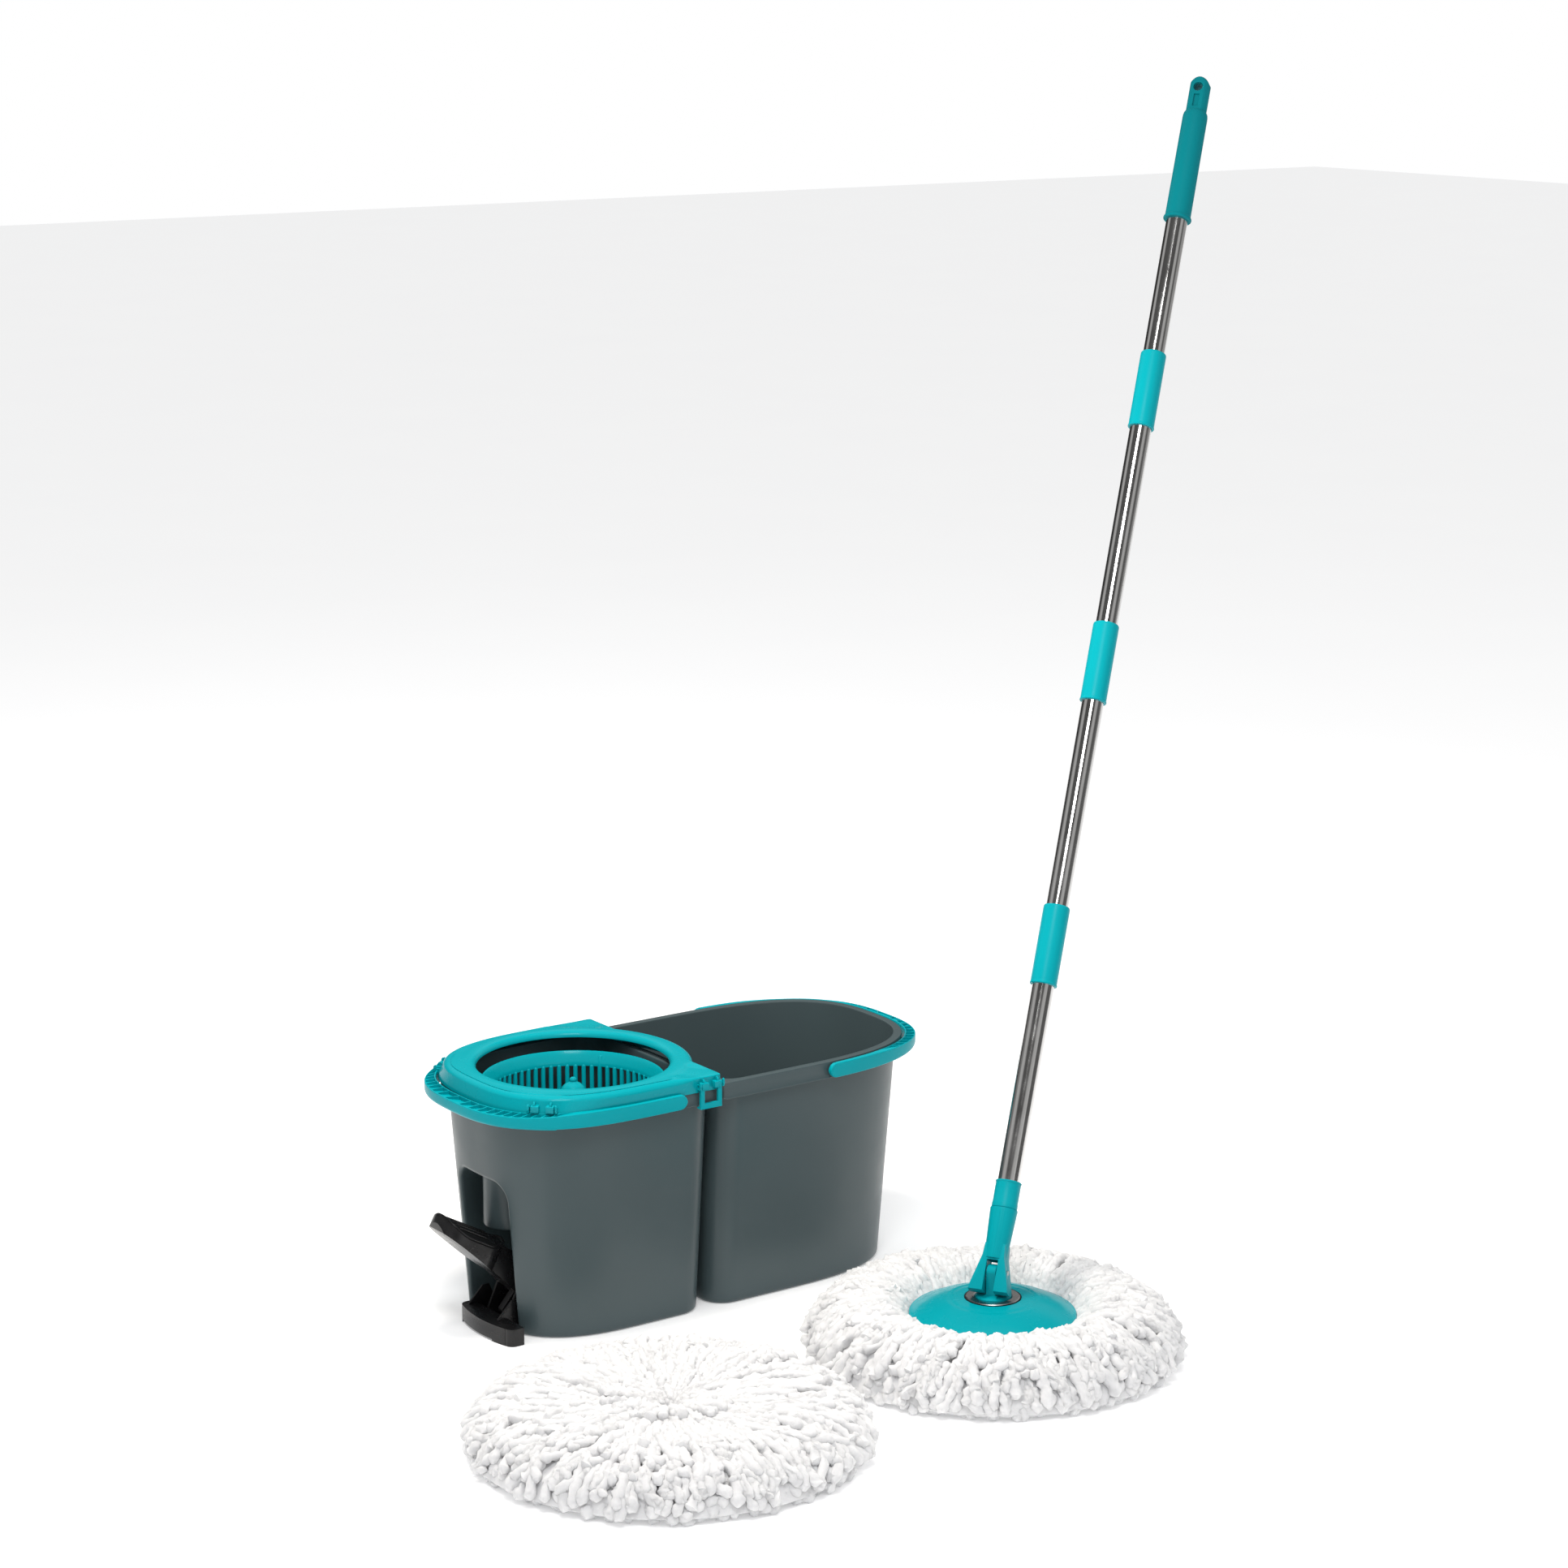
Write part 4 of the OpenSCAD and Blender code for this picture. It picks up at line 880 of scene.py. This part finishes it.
def basket():
    """Wringer basket: funnel, floor with drains, ribs all round (one of them taller), nose."""
    at_spindle = Matrix.Translation((BASKET_X, 0, 0))
    funnel = [(85.1, 218.9), (85.4, 221), (88.2, 229.4), (89.7, 231.6), (89.9, 232.4),
              (89.4, 233), (88.4, 232.9), (87.6, 232.0), (86.0, 228.6), (83.6, 223.4),
              (82.9, 221.2), (82.7, 218.9)]
    part = Build().add(*lathe(funnel, 192, closed=True), at_spindle)
    floor = [(84.4, 174.2), (84.3, 166), (83.6, 164.4), (82.6, 164), (28.5, 164), (27.2, 165),
             (14.6, 201.4), (4.1, 204), (4.1, 216), (11.6, 218.6), (12.6, 218.4), (14.4, 216),
             (28.8, 168.6), (30.2, 167), (32, 166.4), (79, 166.4), (81, 167), (82, 168.6),
             (82.3, 174.2)]
    base = solid("basket_floor", *lathe(floor, 192, closed=True))
    cutters = []
    for i in range(12):
        slot = bar(rounded([(38, -2), (72, -2), (72, 2), (38, 2)], 1.9, 4), 160, 170, 0.1, 1)
        cutters.append(solid("drain", *slot, Matrix.Rotation(math.radians(30 * i + 15), 4, "Z")))
    mesh = cut(base, cutters)
    part.add([v.co for v in mesh.vertices], [tuple(p.vertices) for p in mesh.polygons],
             at_spindle)
    bpy.data.meshes.remove(mesh)
    for i in range(SLOTS):
        place = at_spindle @ Matrix.Rotation(2 * math.pi * i / SLOTS, 4, "Z")
        section = [(BASKET_R + 1.9, -2.15), (BASKET_R + 0.9, -2.2), (BASKET_R, -1.95),
                   (BASKET_R - 0.75, -1.2), (BASKET_R - 1.05, 0), (BASKET_R - 0.75, 1.2),
                   (BASKET_R, 1.95), (BASKET_R + 0.9, 2.2), (BASKET_R + 1.9, 2.15)]
        tall = i == TALL_RIB
        top = 229.5 if tall else 220.2
        lean = 3.3 if tall else 0.5
        rings = []
        for z, grow in [(173.4, 0), (218.2, 0), (top - 0.6, 0.12), (top, 0.75)]:
            out = lean * max(0.0, z - 218.2) / (top - 218.2)
            rings.append([(x + out + grow * 0.6, y * (1 - 0.4 * grow), z) for x, y in section])
        part.add(*loft(rings), place)
    add_piece("basket_shell", part.verts, part.faces, "teal_gloss", "basket",
              ["spin_basket"])
    cap = [(12.4, 217.6), (12.5, 218.8), (12.1, 219.9), (11, 222), (9.4, 224), (7.4, 225.6),
           (5.4, 226.6), (4.2, 227.3), (3.5, 228.1)]
    cap += [(3.6 * math.cos(math.radians(t)), 229.2 + 3.3 * math.sin(math.radians(t)))
            for t in range(-10, 81, 10)]
    turned("basket_nose", cap, at_spindle, "teal_gloss", "basket",
           ["basket_cap"])


basket()


# -------------------------------------------------------- pedal and its base

def sweep(path, radius, steps=10, closed=False):
    """A round tube along points; radius is a number or one for each point."""
    rings, count = [], len(path)
    up = None
    for i, p in enumerate(path):
        p = Vector(p)
        ahead = Vector(path[(i + 1) % count if closed else min(i + 1, count - 1)])
        back = Vector(path[i - 1 if closed or i else 0])
        along = (ahead - back).normalized()
        if up is None:
            up = along.orthogonal().normalized()
        up = (up - along * up.dot(along)).normalized()
        side = along.cross(up)
        r = radius[i] if isinstance(radius, (list, tuple)) else radius
        rings.append([p + r * (math.cos(2 * math.pi * k / steps) * up
                               + math.sin(2 * math.pi * k / steps) * side)
                      for k in range(steps)])
    return loft(rings, closed=closed)


PEDAL_PIVOT = Vector((-200, -15.5, 40))
PAD_TIP = PEDAL_PIVOT + Vector((-80, 7.5, 84.3))
PAD_SLOPE = math.radians(29)
PAD_HALF_W, PAD_LENGTH, PAD_CROWN = 28.5, 78.0, 44.0


def pad_point(u, v, lift=0.0):
    """A point on the pad's crowned top: u down its slope, v across."""
    w = math.sqrt(max(0.0, PAD_CROWN ** 2 - v ** 2)) - PAD_CROWN + lift
    return PAD_TIP + Vector((u * math.cos(PAD_SLOPE) + w * math.sin(PAD_SLOPE), v,
                             w * math.cos(PAD_SLOPE) - u * math.sin(PAD_SLOPE)))


def pedal():
    """The pedal with rounded edges, and the raised rim round its pad."""
    softened("pedal", "black", "foot_pedal", 0.8, 3)
    inset = 2.2
    r = PAD_HALF_W - inset
    outline = arc(PAD_HALF_W, 0, r, 270, 90, 36)
    outline += between((PAD_HALF_W, r), (PAD_LENGTH - PAD_HALF_W, r), 12)[1:]
    outline += arc(PAD_LENGTH - PAD_HALF_W, 0, r, 90, -90, 36)
    outline += between((PAD_LENGTH - PAD_HALF_W, -r), (PAD_HALF_W, -r), 12)[1:]
    rim = Build().add(*sweep([pad_point(u, v, 0.1) for u, v in outline], 1.5, 10, closed=True))
    add_piece("pedal_rim", rim.verts, rim.faces, "black", "foot_pedal")


pedal()
softened("drive_base", "black", "wringer_half", 1.3, 4)
dress(["pedal_axle", "pedal_spring", "spindle", "base_screws", "ratchet_pawls", "idler_clip",
       "idler_axle"], "steel")
dress(["drive_rack", "idler_gear", "clutch_gear", "ratchet_hub", "base_bush", "floor_bush",
       "top_bush", "thread_plugs"], "nylon")
dress(["shaft_seal"], "rubber")


# ----------------------------------------------------------------- mop head

def floor_point(node):
    """The point on the floor under the middle of a CAD node."""
    low, high = box_mm(node)
    return Vector((*((low + high) / 2).xy, 0))


MOP = floor_point("mop_plate")
TILT_Z = 82.0
FORK_TURN, HANDLE_TILT = math.radians(32.66), math.radians(29.8)
AT_MOP = Matrix.Translation(MOP)
AT_FORK = AT_MOP @ Matrix.Translation((0, 0, TILT_Z)) @ Matrix.Rotation(FORK_TURN, 4, "Z")
ON_HANDLE = AT_FORK @ Matrix.Rotation(HANDLE_TILT, 4, "Y")


def dome_z(r):
    """Height of the plate's dome at a radius."""
    return 57 - 16 * ((r - 26) / 54) ** 2


def mop_plate():
    """Dome with a shallow groove round its middle and a soft rolled edge."""
    profile = [(8, 35), (8, 55.2), (8.6, 55.4), (17.5, 55.4), (26.9, 55.4), (27.2, 55.8),
               (27.3, 56.6), (27.6, 57.0)]
    for r in range(30, 79, 2):
        sink = 0.55 * math.exp(-((r - 41) / 1.3) ** 2) - 0.25 * math.exp(-((r - 44.5) / 1.5) ** 2)
        profile.append((r, dome_z(r) - sink))
    profile += [(78.9, 42.1), (79.7, 41.5), (80.1, 40.7), (80.2, 39.6), (80.1, 34.6), (79.7, 33.4),
                (79.0, 33.0), (77.6, 33.0), (77.2, 33.4), (77.0, 38.0), (60, 44), (30, 50),
                (14, 50.5), (14, 35)]
    turned("plate_dome", profile, AT_MOP, "teal_gloss", "mop_head",
           ["mop_plate"], 144, closed=True)


mop_plate()
softened("swivel_base", "teal_satin", "swivel", 0.6, 3)
softened("fork_socket", "teal_satin", "handle", 0.6, 3)
softened("hang_end", "teal_matt", "handle", 0.5, 3)
turned("socket_collar_shown", [(11.1, 61), (12.0, 60.8), (12.5, 61.4), (12.5, 66), (12.2, 66.6),
                               (12.2, 85.6), (12.6, 86.2), (12.6, 87.2), (12.1, 87.7),
                               (11.1, 87.7)],
       ON_HANDLE, "teal_satin", "handle", ["socket_collar"], closed=True)


def connectors():
    """Sleeves over the tube joints: a rolled lip at the bottom and a chamfer at the top."""
    for k, (low, high) in enumerate([(283, 363), (575, 657), (869, 951)], 1):
        profile = [(11.1, low), (12.7, low), (13.3, low + 0.4), (13.5, low + 1.1),
                   (13.3, low + 1.9), (13.0, low + 2.4), (13.0, low + 3), (13.05, high - 2.4),
                   (12.9, high - 0.9), (12.3, high - 0.1), (11.1, high)]
        turned(f"connector_{k}_shown", profile, ON_HANDLE, "teal_satin", "handle",
               [f"connector_{k}"], closed=True)


connectors()
turned("grip_shown", [(11.05, 1100.4), (13.6, 1100.3), (14.4, 1100.9), (14.6, 1101.8),
                      (14.4, 1102.8), (13.8, 1103.8), (13.3, 1104.8), (13.2, 1106),
                      (13.0, 1160), (12.9, 1216), (12.7, 1219), (12.2, 1221.2), (11.4, 1222.6),
                      (10.4, 1223), (5.05, 1223), (5.05, 1208.2), (11.05, 1208.2)],
       ON_HANDLE, "teal_matt", "handle", ["grip"], closed=True)
dress(["tube_1", "tube_2", "tube_3", "tube_4"], "chrome")
dress(["bearing_ring", "plate_screws", "swivel_screw", "swivel_washer", "fork_pin"], "steel")
# The thin ring between the plate's dome and the steel ring is coloured black.
dress(["bearing_seal"], "black")
dress(["mop_ring", "spare_ring", "plate_underside"], "white")


# ------------------------------------------------------------------ fringes

STRAND_RINGS, STRAND_SIDES = 44, 10
SPARE = floor_point("spare_fibre")


def along(profile, steps):
    """Points at even spacing along a smooth curve through (radius, height) points."""
    points = [Vector(p) for p in profile]
    dense = []
    for i in range(len(points) - 1):
        p0, p1 = points[max(0, i - 1)], points[i]
        p2, p3 = points[i + 1], points[min(len(points) - 1, i + 2)]
        for k in range(8):
            t = k / 8
            dense.append(0.5 * ((2 * p1) + (p2 - p0) * t + (2 * p0 - 5 * p1 + 4 * p2 - p3) * t ** 2
                                + (3 * p1 - p0 - 3 * p2 + p3) * t ** 3))
    dense.append(points[-1])
    total = sum((b - a).length for a, b in zip(dense, dense[1:]))
    out, walked, place = [], 0.0, 0
    for k in range(steps + 1):
        goal = total * k / steps
        while place < len(dense) - 2 and walked + (dense[place + 1] - dense[place]).length < goal:
            walked += (dense[place + 1] - dense[place]).length
            place += 1
        reach = (dense[place + 1] - dense[place]).length
        out.append(dense[place].lerp(dense[place + 1], min(1.0, (goal - walked) / reach)))
    return out


def strand(chance, profile, angle, span, thick, wander, rise=0.0):
    """One chenille strand: knobbly, blunt at its end, bending a little to the side.
    span is where it starts and stops along the profile; rise lifts its end."""
    first = int(STRAND_RINGS * span[0])
    steps = max(8, int(STRAND_RINGS * span[1]) - first)
    path = along(profile, STRAND_RINGS)[first:first + steps + 1]
    steps = len(path) - 1
    phase, beads = chance.uniform(0, 100), chance.uniform(0.8, 1.25)
    side = chance.uniform(-wander, wander)
    curl = chance.uniform(-wander, wander) * 0.5
    spine, walked = [], [0.0]
    for i, (r, z) in enumerate(path):
        t = i / steps
        turn = angle + math.radians(side * t * t + curl * math.sin(4 * t + phase))
        lift = 1.8 * math.sin(5.5 * t + phase) * t + rise * t * t
        spine.append(Vector((r * math.cos(turn), r * math.sin(turn), z + lift)))
        if i:
            walked.append(walked[-1] + (spine[i] - spine[i - 1]).length)
    rings = []
    for i, p in enumerate(spine):
        ahead = (spine[min(i + 1, steps)] - spine[max(i - 1, 0)]).normalized()
        across = ahead.cross(Vector((0, 0, 1))).normalized()
        up = across.cross(ahead)
        left = min(1.0, (walked[-1] - walked[i] + 0.1) / thick)
        tip = math.sqrt(1 - (1 - left) ** 2)
        swell = (1 + 0.13 * math.sin(walked[i] * beads + phase)
                 + 0.08 * math.sin(walked[i] * 0.31 + 2 * phase)
                 + 0.22 * smoothstep(0.72, 0.95, i / steps))
        ring = []
        for k in range(STRAND_SIDES):
            a = 2 * math.pi * k / STRAND_SIDES
            out = math.cos(a) * across + math.sin(a) * up
            rough = noise.noise(p * 0.13 + out * 1.2 + Vector((phase, 0, 0)))
            fine = noise.noise(p * 0.42 + out * 2.6 + Vector((0, phase, 0)))
            point = p + out * thick * tip * swell * (1 + 0.42 * rough + 0.34 * fine)
            point.z = max(0.25, point.z)
            ring.append(point)
        rings.append(ring)
    return loft(rings)


def fringe(name, centre, layers, seed, body, node):
    """Layers of strands round a head, each layer its own piece."""
    chance = random.Random(seed)
    for number, (count, profile, stops, thick, wander) in enumerate(layers):
        part = Build()
        for i in range(count):
            angle = 2 * math.pi * (i + chance.uniform(-0.32, 0.32)) / count
            size = thick * chance.uniform(0.84, 1.16)
            raised = [(r, z + chance.uniform(-1.2, 1.2)) for r, z in profile]
            part.add(*strand(chance, raised, angle, (0, chance.uniform(*stops)), size, wander),
                     Matrix.Translation(centre))
        add_piece(f"{name}_{number + 1}", part.verts, part.faces, "fibre", body,
                  [node] if number == 0 else (), angle=math.radians(70))


def tufts(name, centre, profile, count, seed, body):
    """Short ends of yarn that stick out all over the strands."""
    chance = random.Random(seed)
    part = Build()
    for _ in range(count):
        start = math.sqrt(chance.uniform(0.03, 0.66))
        span = (start, min(1.0, start + chance.uniform(0.16, 0.26)))
        part.add(*strand(chance, profile, chance.uniform(0, 2 * math.pi), span,
                         chance.uniform(3.9, 5.2), 5, chance.uniform(0, 5)),
                 Matrix.Translation(centre))
    add_piece(name, part.verts, part.faces, "fibre", body,
              angle=math.radians(70))


def core(name, centre, profile, body):
    """Lumpy packed mass of yarn under the strands."""
    verts, faces = lathe(profile, 120, closed=True)
    moved = []
    for v in verts:
        v = Vector(v)
        bulge = 1.6 * noise.noise(v * 0.11) + 0.9 * noise.noise(v * 0.3)
        moved.append(v + Vector((v.x, v.y, 0)).normalized() * bulge)
    part = Build().add(moved, faces, Matrix.Translation(centre))
    add_piece(name, part.verts, part.faces, "fibre", body)


# Each layer: strands, profile, shares of the profile where they stop, thickness, wander
MOP_LAYERS = [
    (96, [(76, 27), (85, 36), (97, 49), (114, 55), (134, 54), (152, 47), (166, 36), (176, 22),
          (181, 9)], (0.74, 1.0), 4.9, 6),
    (84, [(75, 25), (88, 41), (102, 52), (120, 56), (138, 54), (154, 46), (168, 34), (177, 20)],
     (0.40, 0.80), 4.8, 8),
    (100, [(74, 22), (92, 34), (112, 44), (136, 43), (156, 34), (170, 21), (180, 7)],
     (0.86, 1.0), 5.0, 6),
    (100, [(74, 16), (96, 24), (120, 29), (150, 24), (170, 15), (182, 6)], (0.86, 1.0), 5.0, 6),
    (96, [(80, 10), (110, 11), (150, 9), (182, 6)], (0.90, 1.0), 5.0, 5),
]
SPARE_LAYERS = [
    (104, [(40, 31), (64, 38), (92, 42), (122, 43), (148, 40), (166, 33), (180, 21), (187, 8)],
     (0.80, 1.0), 4.7, 6),
    (90, [(22, 35), (44, 40), (70, 43), (94, 44.5), (118, 45), (142, 42), (160, 36)],
     (0.45, 1.0), 4.5, 9),
    (96, [(60, 24), (100, 33), (136, 32), (160, 25), (178, 15), (188, 6)], (0.88, 1.0), 5.0, 5),
    (100, [(60, 14), (110, 20), (150, 17), (188, 6)], (0.88, 1.0), 5.0, 5),
    (96, [(82, 8), (120, 8), (160, 7), (186, 6)], (0.90, 1.0), 5.0, 4),
    (40, [(9, 30), (16, 38), (30, 44), (48, 46), (66, 45)], (0.6, 1.0), 4.2, 14),
]
fringe("mop_strands", MOP, MOP_LAYERS, 11, "refill", "mop_fibre")
fringe("spare_strands", SPARE, SPARE_LAYERS, 23, "spare", "spare_fibre")
tufts("mop_tufts", MOP, MOP_LAYERS[1][1] + [(182, 8)], 300, 5, "refill")
tufts("spare_tufts", SPARE, SPARE_LAYERS[0][1][1:], 300, 7, "spare")
core("mop_core", MOP, [(80, 3), (170, 3), (177, 8), (171, 26), (156, 41), (130, 51), (108, 49),
                       (92, 38), (83.5, 26), (80, 22)], "refill")
core("spare_core", SPARE, [(10, 13), (47, 13), (47, 9), (78, 9), (78, 3), (174, 3), (182, 8),
                           (174, 24), (154, 36), (110, 40), (60, 38), (20, 33), (10, 24)], "spare")


# -------------------------------------------------------- floor and lights

FLOOR_HALF = 14


def make_stage():
    """White floor that lifts the light a little, so that it meets the background."""
    bpy.context.scene.view_settings.view_transform = "Standard"
    mesh = bpy.data.meshes.new("floor")
    corners = [(x * FLOOR_HALF, y * FLOOR_HALF, 0) for x, y in ((-1, -1), (1, -1), (1, 1), (-1, 1))]
    mesh.from_pydata(corners, [], [(0, 1, 2, 3)])
    floor = bpy.data.objects.new("floor", mesh)
    bpy.context.scene.collection.objects.link(floor)
    s = Shader("floor")
    s.link(s.mix(s.noise(3, 2), (0.94, 0.94, 0.945), (0.96, 0.96, 0.96)),
           s.surface.inputs["Base Color"])
    s.surface.inputs["Roughness"].default_value = 0.9
    s.surface.inputs["Specular IOR Level"].default_value = 0.0
    s.surface.inputs["Emission Color"].default_value = (1, 1, 1, 1)
    s.surface.inputs["Emission Strength"].default_value = 0.22
    mesh.materials.append(s.material)


def make_world():
    """Even white studio light; glossy surfaces see bright panels with dark gaps instead."""
    world = bpy.data.worlds.new("studio")
    bpy.context.scene.world = world
    world.use_nodes = True
    tree = world.node_tree
    background = tree.nodes["Background"]

    def add(kind, **settings):
        made = tree.nodes.new(kind)
        for key, value in settings.items():
            setattr(made, key, value)
        return made

    def ramp(source, stops):
        made = add("ShaderNodeValToRGB")
        made.color_ramp.interpolation = "EASE"
        elements = made.color_ramp.elements
        while len(elements) < len(stops):
            elements.new(0.5)
        for element, (place, *colour) in zip(elements, stops):
            element.position = place
            element.color = (*(colour if len(colour) == 3 else colour * 3), 1)
        tree.links.new(source, made.inputs["Fac"])
        return made.outputs["Color"]

    def choose(factor, first, second):
        made = add("ShaderNodeMix", data_type="RGBA")
        tree.links.new(factor, made.inputs[0])
        for value, socket in ((first, made.inputs[6]), (second, made.inputs[7])):
            if isinstance(value, tuple):
                socket.default_value = (*value, 1)
            else:
                tree.links.new(value, socket)
        return made.outputs[2]

    split = add("ShaderNodeSeparateXYZ")
    tree.links.new(add("ShaderNodeTexCoord").outputs["Generated"], split.inputs[0])
    turn = add("ShaderNodeMath", operation="ARCTAN2")
    tree.links.new(split.outputs["Y"], turn.inputs[0])
    tree.links.new(split.outputs["X"], turn.inputs[1])
    share = add("ShaderNodeMapRange")
    share.inputs["From Min"].default_value = -math.pi
    share.inputs["From Max"].default_value = math.pi
    tree.links.new(turn.outputs[0], share.inputs["Value"])
    around = share.outputs["Result"]
    panels = ramp(around, [(0.0, 0.25), (0.05, 0.7), (0.09, 0.8), (0.12, 0.05), (0.18, 0.04),
                           (0.21, 1.25), (0.28, 1.25), (0.31, 0.10), (0.40, 0.12), (0.44, 0.35),
                           (0.56, 0.40), (0.60, 0.04), (0.80, 0.04), (0.84, 0.20), (1.0, 0.25)])
    overhead = ramp(split.outputs["Z"], [(0.30, 0.08), (0.40, 0.45), (0.56, 0.45), (0.62, 0.08),
                                         (0.86, 0.10), (0.92, 0.8), (1.0, 0.8)])
    up = add("ShaderNodeMapRange")
    up.inputs["From Min"].default_value = 0.28
    up.inputs["From Max"].default_value = 0.42
    tree.links.new(split.outputs["Z"], up.inputs["Value"])
    mirrored = choose(up.outputs["Result"], panels, overhead)
    # Matt surfaces: dimmer near the horizon, darkest from the left
    even = ramp(around, [(0.0, 0.12, 0.13, 0.15), (0.2, 0.36, 0.40, 0.45),
                         (0.32, 0.36, 0.37, 0.37), (0.5, 0.30, 0.30, 0.28),
                         (0.75, 0.40, 0.40, 0.40), (1.0, 0.12, 0.13, 0.15)])
    soft = choose(up.outputs["Result"], even, (0.74, 0.74, 0.74))
    path = add("ShaderNodeLightPath")
    lit = choose(path.outputs["Is Glossy Ray"], soft, mirrored)
    seen = choose(path.outputs["Is Camera Ray"], lit, (1.0, 1.0, 1.0))
    tree.links.new(seen, background.inputs["Color"])
    background.inputs["Strength"].default_value = 1.0


def add_lamp(name, place, target, size, power, colour=(1, 1, 1), mirrored=True):
    """A square soft light; mirrored is whether glossy surfaces reflect it."""
    data = bpy.data.lights.new(name, "AREA")
    data.color = colour
    data.shape, data.size, data.energy = "SQUARE", size, power
    lamp = bpy.data.objects.new(name, data)
    lamp.visible_glossy = mirrored
    lamp.location = place
    lamp.rotation_euler = (Vector(target) - Vector(place)).to_track_quat("-Z", "Y").to_euler()
    bpy.context.scene.collection.objects.link(lamp)


make_stage()
make_world()
add_lamp("key", (-1.1, -1.7, 3.0), (-0.1, -0.1, 0.2), 1.0, 38)
add_lamp("fill", (2.2, -1.8, 2.0), (0.1, -0.1, 0.3), 1.6, 6, mirrored=False)
add_lamp("back", (0.4, 2.2, 2.4), (0, 0, 0.3), 1.8, 9, mirrored=False)
add_lamp("over_rinse", (-0.25, -0.1, 1.2), (0.15, 0, 0.1), 0.3, 10, (1, 0.94, 0.86), False)
